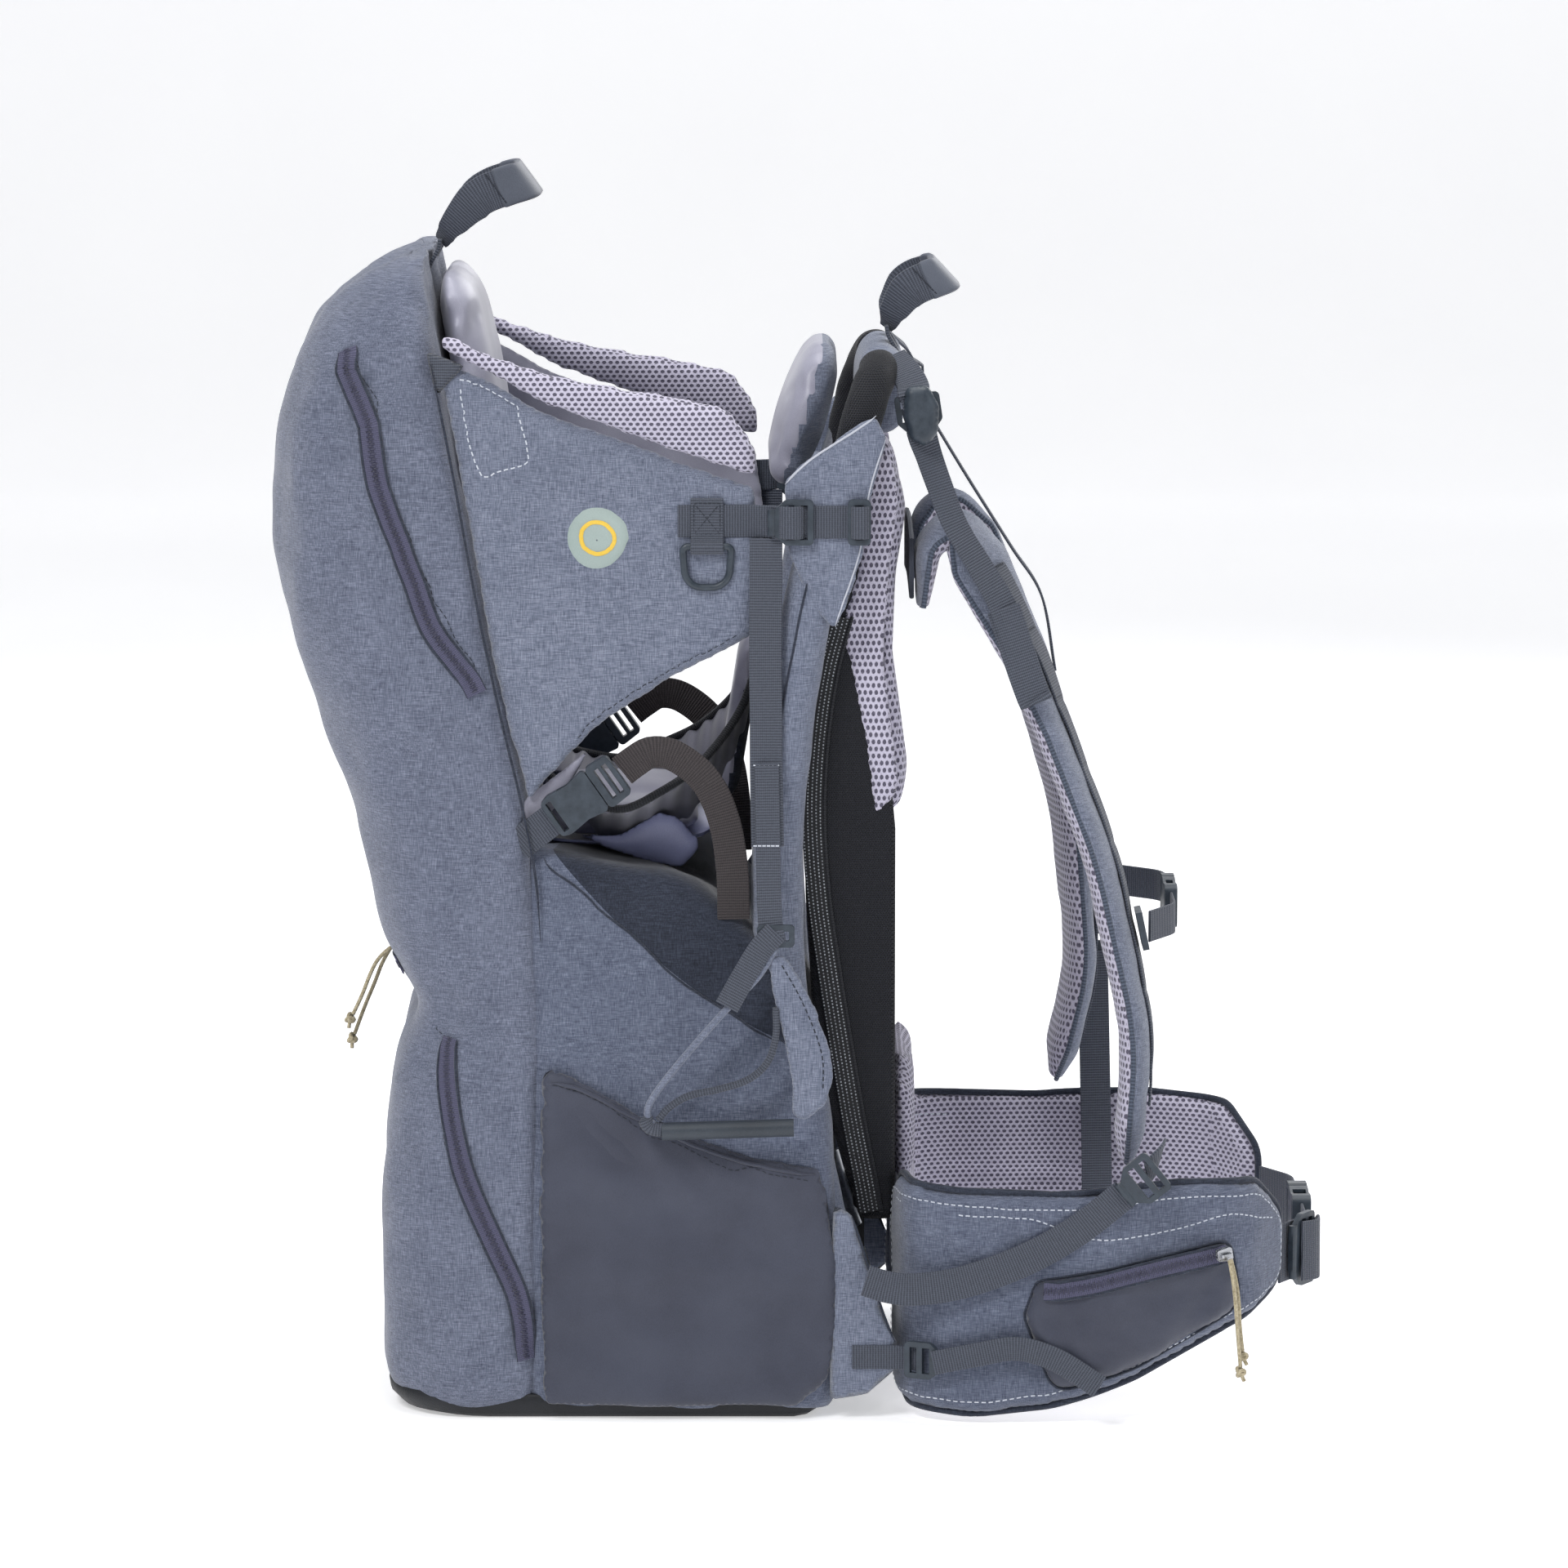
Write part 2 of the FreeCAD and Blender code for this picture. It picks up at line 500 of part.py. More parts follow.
def zip_slider():
    """A zip slider lying in the XY plane that runs along X, with the bridge for its puller on top."""
    base = plan_prism([(-5, -3.4, 1.5), (5, -4.6, 2), (5, 4.6, 2), (-5, 3.4, 1.5)], 0, 1.4)
    top = plan_prism([(-5, -3.4, 1.5), (5, -4.6, 2), (5, 4.6, 2), (-5, 3.4, 1.5)], 2.6, 4.0)
    wedge = plan_prism([(1.5, 0, 0), (5, -1.6, 0), (5, 1.6, 0)], 1.4, 2.6)
    bridge = side_prism([(-3.5, 3.9, 0), (-3.5, 7.4, 1.5), (3.5, 7.4, 1.5), (3.5, 3.9, 0)], -0.9, 0.9)
    bridge = bridge.cut(side_prism([(-2, 3.9), (-2, 6.0, 0.8), (2, 6.0, 0.8), (2, 3.9)], -2, 2))
    return base.fuse([top, wedge, bridge]).removeSplitter()


def zip_puller():
    """A puller plate that hangs from a slider's bridge along +X; its hinge is at the origin."""
    edge = [(-2.6, -2.6, 2), (13, -2.2, 1), (17, -2.2, 2)]
    edge += [(x, -y, bend) for x, y, bend in reversed(edge)]
    plate = plan_prism(edge, -0.7, 0.7)
    eye = box((-1.5, 1.5), (-1.3, 1.3), (-2, 2))
    hole = Part.makeCylinder(1.3, 4, Vec(14.6, 0, -2))
    return plate.cut(eye).cut(hole)


def haul_loop(spread, reach, width, lean):
    """A webbing carry loop that stands on the origin, its legs spread along Y, leaning towards +X."""
    foot = 11.0
    points = [(0, -spread, foot), (0, -spread - 3, reach * 0.6), (0, -spread * 0.8, reach), (0, spread * 0.8, reach)]
    points += [(0, spread + 3, reach * 0.6), (0, spread, foot)]
    strap = ribbon(points, [40.0, 10.0, 10.0, 40.0], width, LOOP_THICK, X_AXIS)
    strap.rotate(Vec(0, 0, 0), Y_AXIS, lean)
    return strap


def plate_band(points, radii, width, thickness, across):
    """A flat strap whose face looks along the path plane's normal, across."""
    return ribbon(points, radii, thickness, width, across)


def parallel(points, radii, shift):
    """A path beside another in the same plane, shift to its left; corners and bend radii follow it."""
    n = len(points)
    steps = []
    for (u0, v0), (u1, v1) in zip(points, points[1:]):
        length = math.hypot(u1 - u0, v1 - v0)
        steps.append(((u1 - u0) / length, (v1 - v0) / length))
    moved, bends = [], []
    for i, (u, v) in enumerate(points):
        before, after = steps[max(i - 1, 0)], steps[min(i, n - 2)]
        nu, nv = -before[1] - after[1], before[0] + after[0]
        scale = shift * 2 / (nu * nu + nv * nv)
        moved.append((u + nu * scale, v + nv * scale))
        if 0 < i < n - 1:
            turn = before[0] * after[1] - before[1] * after[0]
            bends.append(max(radii[i - 1] - math.copysign(shift, turn), 1.0))
    return moved, bends


def thick_path(points, radii, low, high, place):
    """The face between two curves parallel to a path."""
    near, near_bends = parallel(points, radii, low)
    far, far_bends = parallel(points, radii, high)
    corners = [(p[0], p[1], r) for p, r in zip(near, [0] + near_bends + [0])]
    corners += [(p[0], p[1], r) for p, r in zip(reversed(far), [0] + far_bends[::-1] + [0])]
    return Part.Face(outline(corners, place))


# Harness and hip belt -------------------------------------------------------------------------------

def strap_point(side, x, z):
    """The point over (x, z) on the sloping plane that a shoulder strap hangs in."""
    path, _, (y_top, y_end) = STRAP_PATHS[side]
    slope = (y_top - y_end) / (path[0][1] - path[-1][1])
    return (x, y_top + slope * (z - path[0][1]), z)


def strap_normal(side):
    path, _, (y_top, y_end) = STRAP_PATHS[side]
    slope = (y_top - y_end) / (path[0][1] - path[-1][1])
    return Vec(0, 1, -slope).normalize()


def strap_parts():
    """Padded shoulder straps, and the webbing that lies on their outer faces."""
    parts, chains = {}, []
    for side in SIDES:
        path, bends, _ = STRAP_PATHS[side]
        wire = fillet_path([strap_point(side, x, z) for x, z in path], bends)
        along = (Vec(*strap_point(side, *path[1])) - Vec(*strap_point(side, *path[0]))).normalize()
        across = strap_normal(side)
        thick = along.cross(across)
        centre = Vec(*strap_point(side, *path[0]))
        r, half = STRAP_PAD / 2 - 0.6, STRAP_WIDTH / 2
        corners = [(-half, -r), (half, -r), (half, r), (-half, r)]
        place = lambda u, v: centre + across * u + thick * v
        profile = outline([(u, v, r * 0.9) for u, v in corners], place)
        parts[f"shoulder_strap_{side}"] = wire.makePipeShell([profile], True, False)
        outer, outer_bends = parallel(path, bends, STRAP_PAD / 2 + 1.4)
        outer = outer[2:]
        outer[0] = ((outer[0][0] * 2 + outer[1][0]) / 3, (outer[0][1] * 2 + outer[1][1]) / 3)
        points = [strap_point(side, x, z) for x, z in outer]
        chains.append(ribbon(points, outer_bends[2:], WIDE, WEBBING, across))
    return parts, chains


def belt_band(low, high, strip):
    """Part of the right wing's wall between two offsets from its middle, cut to an outline seen from the side."""
    face = thick_path(BELT_PATH, BELT_BENDS, low, high, lambda u, v: Vec(u, v, -20))
    return face.extrude(Vec(0, 0, 240)).common(side_prism(strip, -260, -40))


def belt_parts():
    parts = {}
    wing = [(170, 155, 20), (216, 147, 80), (275, 145, 60), (349, 150, 60), (400, 147, 14), (424, 122, 20)]
    wing += [(424, 74, 20), (385, 58, 60), (325, 28, 90), (275, 12, 80), (226, 6, 80), (182, 8, 30), (170, 20, 10)]
    right = belt_band(-BELT_PAD / 2, BELT_PAD / 2, wing)
    parts["hip_wing_right"] = right
    parts["hip_wing_left"] = mirrored(right)
    core = [(178.4, 36, 4), (192, 42, 8), (192, 122, 8), (178.4, 131, 4)]
    parts["belt_core"] = side_prism(core, -108, 108)
    pouch = [(256, 70, 10), (266, 95, 4), (300, 99, 30), (345, 107, 60), (384, 114, 4), (390, 66, 20)]
    pouch += [(325, 34, 80), (275, 20, 60)]
    skin = belt_band(-BELT_PAD / 2 - HIP_POCKET, -BELT_PAD / 2 - GAP, pouch)
    parts["hip_pockets"] = Part.Compound([skin, mirrored(skin)])
    return parts


def wing_straight(x, offset):
    """(x, y) beside the right wing's straight run, offset outwards from its middle."""
    (x0, y0), (x1, y1) = BELT_PATH[3], BELT_PATH[4]
    length = math.hypot(x1 - x0, y1 - y0)
    nx, ny = (y1 - y0) / length, -(x1 - x0) / length
    return (x + nx * offset, y0 + (x - x0) * (y1 - y0) / (x1 - x0) + ny * offset)


# Zips ------------------------------------------------------------------------------------------------

def zip_parts():
    """Zip tapes that lie on the fabric, with their sliders at the closed ends."""
    half = ZIP_TAPE / 2
    (x_low, x_high), (z_low, z_high) = HIP_ZIP, HIP_ZIP_Z
    hip = [(268, 82), (300, 86), (x_low, z_low - half), (x_high, z_high - half), (384, z_high - half)]
    hip += [(384, z_high + half), (x_high, z_high + half), (x_low, z_low + half), (300, 99), (268, 95)]
    offset = -BELT_PAD / 2 - HIP_POCKET - GAP
    tapes = [belt_band(offset - ZIP_PROUD, offset, hip)]
    rear_x, rear_z = REAR_ZIP
    tapes.append(box((rear_x - ZIP_PROUD, rear_x), (-100, 100), (rear_z - half, rear_z + half)))
    side = [(-100, 246, 2), (-112, 240, 12), (-84, 160, 12), (-54, 70, 12), (-40, 30, 12), (-52, 28, 12)]
    side += [(-66, 68, 12), (-96, 158, 12), (-122, 240, 12), (-106, 254, 2)]
    arch = [(-86, 446, 3), (-118, 530, 90), (-168, 640, 30), (-158, 646, 20), (-106, 534, 70), (-76, 450, 3)]
    for corners, wall_y in ((side, BAG_Y), (arch, PACK_Y)):
        panel = side_prism(corners, -wall_y - GAP - ZIP_PROUD, -wall_y - GAP)
        tapes += [panel, mirrored(panel)]
    return Part.Compound(tapes)


def on_line(start, end, distance):
    """The (x, z) point this far along a line, and the line's direction."""
    length = math.hypot(end[0] - start[0], end[1] - start[1])
    ux, uz = (end[0] - start[0]) / length, (end[1] - start[1]) / length
    return (start[0] + ux * distance, start[1] + uz * distance), (ux, uz)


def slider_parts():
    parts = {}
    rear_x, rear_z = REAR_ZIP
    parts["zip_slider_lower"] = put(zip_slider(), (rear_x - SLIDER_REST, 0, rear_z), Y_AXIS, X_AXIS * -1)
    (x, z), (ux, uz) = on_line(*ARCH_ZIP, 12.0)
    along = Vec(ux, 0, uz)
    y = PACK_Y + GAP + SLIDER_REST
    slider = put(zip_slider(), (x, y, z), along * -1, Y_AXIS)
    puller = put(zip_puller(), (x, y + PULLER_RISE, z), (0.05, 0, -1), Y_AXIS)
    parts["zip_slider_upper"] = Part.Compound([slider, puller])
    x = 374.0
    z = HIP_ZIP_Z[0] + (x - HIP_ZIP[0]) * (HIP_ZIP_Z[1] - HIP_ZIP_Z[0]) / (HIP_ZIP[1] - HIP_ZIP[0])
    px, py = wing_straight(x, BELT_PAD / 2 + HIP_POCKET + GAP + SLIDER_REST)
    out = Vec(*wing_straight(x, 10), 0) - Vec(*wing_straight(x, 0), 0)
    along = Vec(*wing_straight(HIP_ZIP[1], 0), HIP_ZIP_Z[1]) - Vec(*wing_straight(HIP_ZIP[0], 0), HIP_ZIP_Z[0])
    parts["zip_slider_hip"] = put(zip_slider(), (px, py, z), along, out)
    return parts


def cord_tube(name):
    """A round cord along a route: straight runs joined by arcs as open as the runs allow."""
    points = [Vec(*p) for p in CORDS[name]]
    radii = []
    for before, here, after in zip(points, points[1:], points[2:]):
        half = (before - here).getAngle(after - here) / 2
        reach = 0.45 * min((before - here).Length, (after - here).Length)
        radii.append(reach * math.tan(half))
    return sweep_round(fillet_path(CORDS[name], radii), CORD_R)


def cord_parts():
    parts = {name: cord_tube(name) for name in CORDS}
    for group in ("lower", "hip"):
        knots = []
        for strand in ("a", "b"):
            route = CORDS[f"zip_cord_{group}_{strand}"]
            last, before = Vec(*route[-1]), Vec(*route[-2])
            step = (last - before).normalize()
            knots.append(Part.makeSphere(KNOT_R, last + step * (KNOT_R + 0.2)))
        parts[f"zip_knots_{group}"] = Part.Compound(knots)
    return parts


# Webbing and buckles ---------------------------------------------------------------------------------

def d_ring():
    x, y, z = DRING_BAR
    halves = []
    for sign in (-1, 1):
        points = [(x, y, z), (x + sign * 15, y, z), (x + sign * 13, y, z - 25), (x, y, z - 25)]
        halves.append(sweep_round(fillet_path(points, [3, 11]), DRING_R))
    return halves[0].fuse(halves[1]).removeSplitter()


def pack_webbing():
    """Webbing on the bag: side compression straps, ring tabs, stirrup straps and carry loop tabs."""
    y_wall, y_out = -PACK_Y - 1.2, -PACK_Y - 7.2
    strap = [(45, y_wall, 560), (84, y_wall, 560), (100, y_out, 560), (112, y_out, 560)]
    strap = ribbon(strap, 20, WIDE, WEBBING, Z_AXIS)
    anchor = ribbon([(119, y_out, 560), (150, y_out, 560)], 0, WIDE, WEBBING, Z_AXIS)
    x, y, z = DRING_BAR
    eye = rod((x - 9.5, y, z), (x + 9.5, y, z), DRING_R + 2.0)
    tab = box((x - 10, x + 10), (y + 0.6, y + 2.2), (z + 3.2, 572)).fuse(eye)
    tab = tab.cut(rod((x - 20, y, z), (x + 20, y, z), DRING_R + 0.4)).removeSplitter()
    drop = ribbon([(97, y_out - 0.1, 549.4), (97, y_out - 0.1, 412)], 0, WIDE, WEBBING, X_AXIS)
    low = ribbon([(99, y_out - 2.1, 430), (99, y_out - 2.6, 400), (99, -167.5, 317.5)], 60, NARROW, WEBBING, X_AXIS)
    tail = plate_band([(101, -172, 313), (92, -172, 300), (72, -172, 264)], 12, NARROW, WEBBING, Y_AXIS)
    pieces = [on_side(p, sign) for p in (strap, anchor, tab, drop, low, tail) for sign in SIDES.values()]
    for x, z, spread in ((*REAR_HAUL, 34), (*FRONT_HAUL, 30)):
        for sign in SIDES.values():
            pieces.append(box((x - 7, x + 7), (sign * spread - 12, sign * spread + 12), (z - 3.2, z - 0.6)))
    return Part.Compound(pieces)


def harness_webbing(chains):
    """Webbing on the wearer's side: yoke, load lifters, lower shoulder straps, stabilisers and half the hip strap."""
    yoke = box((184.8, 186.6), (-108, 108), (508, 546))
    lifter = [(192, 611), (212, 556), (241, 506), (262, 450)]
    lifter = [(x, -100.5 - LIFTER_PLANE * (612 - z), z) for x, z in lifter]
    right = plate_band(lifter, 60, WIDE, WEBBING, Vec(0, 1, -LIFTER_PLANE).normalize())
    left = ribbon([(199.5, 82, 608), (273, 82, 488), (283, 82, 440)], 40, WIDE, WEBBING, Y_AXIS)
    y = -BELT_Y - 4.5
    lower = [(162, y, 92), (186, y, 88), (240, y, 99), (285, y, 123), (318, y, 148)]
    lower_right = plate_band(lower, [60, 80, 80], WIDE, WEBBING, Y_AXIS)
    end_tab = box((324, 342), (y - 0.7, -153.0), (166, 167.6))
    lower_left = plate_band([(311, 133, 246), (315, 133, 86)], 0, WIDE, WEBBING, Y_AXIS)
    hip = [(HIP_BUCKLE[0] - 17.5, -88), (HIP_BUCKLE[0], -60), (HIP_BUCKLE[0], HIP_BUCKLE[1] - 17)]
    hip_right = ribbon([(x, y, HIP_BUCKLE[2]) for x, y in hip], 30, BELT_WEB, WEBBING, Z_AXIS)
    stay = ribbon([(158, -153.9, 41), (174, -153.9, 41), (183, -154.6, 41)], 30, NARROW, WEBBING, Z_AXIS)
    tail_low = -BELT_PAD / 2 - HIP_POCKET - 2.2
    tail = belt_band(tail_low, tail_low + WEBBING, STAY_TAIL)
    pieces = [yoke, right, left, lower_right, end_tab, lower_left, hip_right]
    pieces += [stay, mirrored(stay), tail, mirrored(tail)]
    return Part.Compound(pieces + chains)


def ladder_locks():
    pieces = []
    for sign in SIDES.values():
        lock = put(ladder_lock(WIDE), (113, -PACK_Y - 10.2, 560), X_AXIS, Y_AXIS * -1)
        glide = put(web_loop(WIDE), (154, -PACK_Y - 10.2, 560), X_AXIS, Y_AXIS * -1)
        stirrup = put(web_loop(NARROW), (103, -168.5, 308.4), Z_AXIS, Y_AXIS * -1)
        stay = put(ladder_lock(NARROW), (195, -162.8, 41), (-0.926, 0.377, 0), (-0.377, -0.926, 0))
        pieces += [on_side(p, sign) for p in (lock, glide, stirrup, stay)]
    pieces.append(put(ladder_lock(WIDE), (191, -104.4, 622), (-0.15, 0, 1), (0, -1, 0)))
    pieces.append(put(ladder_lock(WIDE), (196, 82, 624), (-0.3, 0, 1), (1, 0, 0.3)))
    pieces.append(put(ladder_lock(WIDE), (328, -BELT_Y - 8.0, 156), (0.786, 0, 0.62), (0, -1, 0)))
    pieces.append(put(ladder_lock(WIDE), (311, 136.4, 256), (0, 0, 1), (0, 1, 0)))
    x, y, z = HIP_BUCKLE
    pieces.append(put(ladder_lock(BELT_WEB), (x - 3.4, y - 64.4, z), (0.545, 0.838, 0), (0.838, -0.545, 0)))
    return Part.Compound(pieces)


def stirrup_parts():
    x, y, z = STIRRUP_TOP
    loop = [(96, z - 3, 3), (110, z - 3, 3), (127, 270, 40), (139, 222, 20), (134, 200, 10), (119, 194, 4)]
    loop += [(108, 212, 30), (104, 262, 60), (101, 274, 4), (92, 262, 30), (48, 206, 10), (42, 197, 2)]
    loop += [(30, 194, 4), (24, 201, 6), (60, 254, 60)]
    loop = side_prism(loop, y - 2, y + 2)
    bar = rod((33, y, 186.5), (114, y, 189), 5.5)
    parts = {}
    for side, sign in SIDES.items():
        parts[f"stirrup_loop_{side}"] = on_side(loop, sign)
        parts[f"stirrup_bar_{side}"] = on_side(bar, sign)
    return parts


def buckle_parts():
    parts = {}
    out = Y_AXIS * -1
    socket = put(buckle_socket(WIDE, 9), LEG_BUCKLE, LEG_ALONG, out)
    mouth = Vec(*LEG_BUCKLE) + Vec(LEG_ALONG).normalize() * SOCKET_REACH
    plug = put(buckle_plug(WIDE, 9), tuple(mouth), LEG_ALONG, out)
    y = LEG_BUCKLE[1]
    web = [(8.4, y, 405.2), (30, y, 420), (70, y, 392), (77, y, 350), (77, y, 313)]
    web = plate_band(web, [14, 26, 30], WIDE, WEBBING, Y_AXIS)
    for side, sign in SIDES.items():
        parts[f"leg_plug_{side}"] = on_side(plug, sign)
        parts[f"leg_web_{side}"] = on_side(web, sign)
    hip_socket = put(buckle_socket(BELT_WEB, 12), HIP_BUCKLE, Y_AXIS, X_AXIS)
    parts["buckle_sockets"] = Part.Compound([socket, mirrored(socket), hip_socket])
    x, y, z = HIP_BUCKLE
    parts["hip_plug"] = put(buckle_plug(BELT_WEB, 12), (x, y + SOCKET_REACH, z), Y_AXIS, X_AXIS)
    hip = [(x, y + SOCKET_REACH + 17.6, z), (x, 60, z), (x - 17.5, 88, z)]
    parts["hip_web_left"] = ribbon(hip, 30, BELT_WEB, WEBBING, Z_AXIS)
    x, y, z = STERNUM
    socket = put(buckle_socket(WIDE, 8), STERNUM, Y_AXIS, X_AXIS)
    clip = box((-12, 12), (-13, 13), (0, 4))
    slope_right, slope_left = Vec(0.205, 0, -0.979), Vec(0.095, 0, -0.995)
    right = put(clip, (STERNUM_CLIPS[0][0], STERNUM_CLIPS[0][1], z), slope_right, (0.979, 0, 0.205))
    left = put(clip, (STERNUM_CLIPS[1][0], STERNUM_CLIPS[1][1], z), slope_left, (0.995, 0, 0.095))
    parts["sternum_socket"] = Part.Compound([socket, right, left])
    parts["sternum_plug"] = put(buckle_plug(WIDE, 8), (x, y + SOCKET_REACH, z), Y_AXIS, X_AXIS)
    web = [(335.4, -97, z), (x, -66, z), (x, y - 17, z)]
    parts["sternum_web_right"] = ribbon(web, 26, WIDE, WEBBING, Z_AXIS)
    web = [(x, y + SOCKET_REACH + 17.6, z), (x, 58, z), (317.5, 88, z)]
    parts["sternum_web_left"] = ribbon(web, 26, WIDE, WEBBING, Z_AXIS)
    return parts


def stay_panels():
    panel = [(142, 136, 3), (150, 130, 6), (168, 66, 8), (176, 50, 3), (176, 34, 3), (142, 30, 3)]
    solid = side_prism(panel, -BAG_Y - 2.6, -BAG_Y - GAP)
    return [solid, mirrored(solid)]


def face_pad():
    pad = [(120, 664, 10), (142, 663, 8), (147, 644, 12), (131, 608, 30), (113, 584, 14), (103, 566, 4)]
    pad += [(99, 600, 40), (106, 640, 30)]
    face = [(-FACE_PAD_Y, 540), (FACE_PAD_Y, 540), (FACE_PAD_Y, 680, 34), (-FACE_PAD_Y, 680, 34)]
    return side_prism(pad, -FACE_PAD_Y, FACE_PAD_Y).common(front_prism(face, 80, 160))


def haul_parts():
    parts = {}
    for name, (x, z), spread, reach, lean in (
        ("haul_loop_rear", REAR_HAUL, 34, 66.5, 54),
        ("haul_loop_front", FRONT_HAUL, 30, 50, 47),
    ):
        loop = haul_loop(spread, reach, LOOP_WEB, lean)
        loop.translate(Vec(x, 0, z))
        parts[name] = loop
    return parts


def build():
    parts, hoop_solid = frame_parts()
    parts.update(back_parts(hoop_solid))
    parts.update(pack_parts())
    straps, chains = strap_parts()
    parts.update(straps)
    parts.update(belt_parts())
    parts["zips"] = zip_parts()
    parts.update(slider_parts())
    parts.update(cord_parts())
    parts["d_ring_right"] = d_ring()
    parts["d_ring_left"] = mirrored(d_ring())
    parts["webbing_pack"] = pack_webbing()
    parts["webbing_harness"] = harness_webbing(chains)
    parts["ladder_locks"] = ladder_locks()
    parts.update(stirrup_parts())
    parts.update(buckle_parts())
    parts.update(haul_parts())
    parts["face_pad"] = face_pad()
    return parts


os.makedirs("parts", exist_ok=True)
for name, shape in build().items():
    shape.exportStep(f"parts/{name}.step")
    print(f"{name:24s} {len(shape.Solids):3d} solids, valid {shape.isValid()}, {shape.Volume / 1000:9.3f} cm3")
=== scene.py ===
"""The looks of a framed child carrier backpack: soft goods, finishes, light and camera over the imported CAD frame.

Lengths in the tables below are millimetres in the part's own frame: X the way the wearer walks, Y to the wearer's
left, Z up. CORDS, the camera and the studio are in metres. side is -1 for the wearer's right and 1 for the left.
"""

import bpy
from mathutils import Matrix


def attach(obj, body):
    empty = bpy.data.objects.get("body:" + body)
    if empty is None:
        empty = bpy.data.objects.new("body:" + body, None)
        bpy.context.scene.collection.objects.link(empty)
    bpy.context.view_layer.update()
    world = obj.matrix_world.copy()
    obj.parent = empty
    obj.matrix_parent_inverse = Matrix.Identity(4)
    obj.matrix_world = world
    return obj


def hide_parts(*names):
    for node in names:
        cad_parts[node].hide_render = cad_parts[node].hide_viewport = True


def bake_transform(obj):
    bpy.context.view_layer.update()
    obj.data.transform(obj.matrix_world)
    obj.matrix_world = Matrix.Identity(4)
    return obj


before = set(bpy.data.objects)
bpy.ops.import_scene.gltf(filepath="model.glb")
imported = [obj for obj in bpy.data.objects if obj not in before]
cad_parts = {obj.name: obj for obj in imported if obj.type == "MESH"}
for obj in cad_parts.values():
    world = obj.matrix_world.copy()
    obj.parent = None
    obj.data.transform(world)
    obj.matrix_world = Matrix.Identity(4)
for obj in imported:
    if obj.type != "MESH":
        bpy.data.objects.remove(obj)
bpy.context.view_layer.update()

import math

import bmesh
import bpy
import numpy as np
from mathutils import Vector, noise
from mathutils.bvhtree import BVHTree
from mathutils.geometry import delaunay_2d_cdt

MM = 0.001
RIGHT, LEFT = -1, 1
SIDES = {"right": RIGHT, "left": LEFT}
WEB = 1.6  # thickness of webbing
WALL_Y, NET_Y, STIRRUP_Y = 131.0, 109.6, 168.5  # planes of the cockpit walls, side nets and stirrups


# --- Finishes

def rgb(code):
    """A linear colour from an sRGB hex code."""
    parts = [int(code[i:i + 2], 16) / 255 for i in (0, 2, 4)]
    return [c / 12.92 if c <= 0.04045 else ((c + 0.055) / 1.055) ** 2.4 for c in parts]


class Value:
    """A node's output that can be used in arithmetic."""

    def __init__(self, tree, socket):
        self.tree, self.socket = tree, socket

    def math(self, operation, *others):
        node = self.tree.nodes.new("ShaderNodeMath")
        node.operation = operation
        for slot, item in zip(node.inputs, (self, *others)):
            if isinstance(item, Value):
                self.tree.links.new(item.socket, slot)
            else:
                slot.default_value = item
        return Value(self.tree, node.outputs[0])

    def __add__(self, other):
        return self.math("ADD", other)

    def __sub__(self, other):
        return self.math("SUBTRACT", other)

    def __mul__(self, other):
        return self.math("MULTIPLY", other)

    def __truediv__(self, other):
        return self.math("DIVIDE", other)

    def wave(self, period):
        """A sine from 0 to 1 with the given period."""
        return (self * (2 * math.pi / period)).math("SINE") * 0.5 + 0.5

    def cell(self):
        """Distance from the middle of each unit cell, from -0.5 to 0.5."""
        return self.math("FRACT") - 0.5

    def ramp(self, low, high, out_low=0.0, out_high=1.0):
        """A smooth step between two values."""
        node = self.tree.nodes.new("ShaderNodeMapRange")
        node.interpolation_type = "SMOOTHSTEP"
        self.tree.links.new(self.socket, node.inputs["Value"])
        for name, number in (("From Min", low), ("From Max", high), ("To Min", out_low), ("To Max", out_high)):
            node.inputs[name].default_value = number
        return Value(self.tree, node.outputs[0])

    def choose(self, zero, one):
        """zero where this is 0 and one where it is 1."""
        return zero + (one - zero) * self


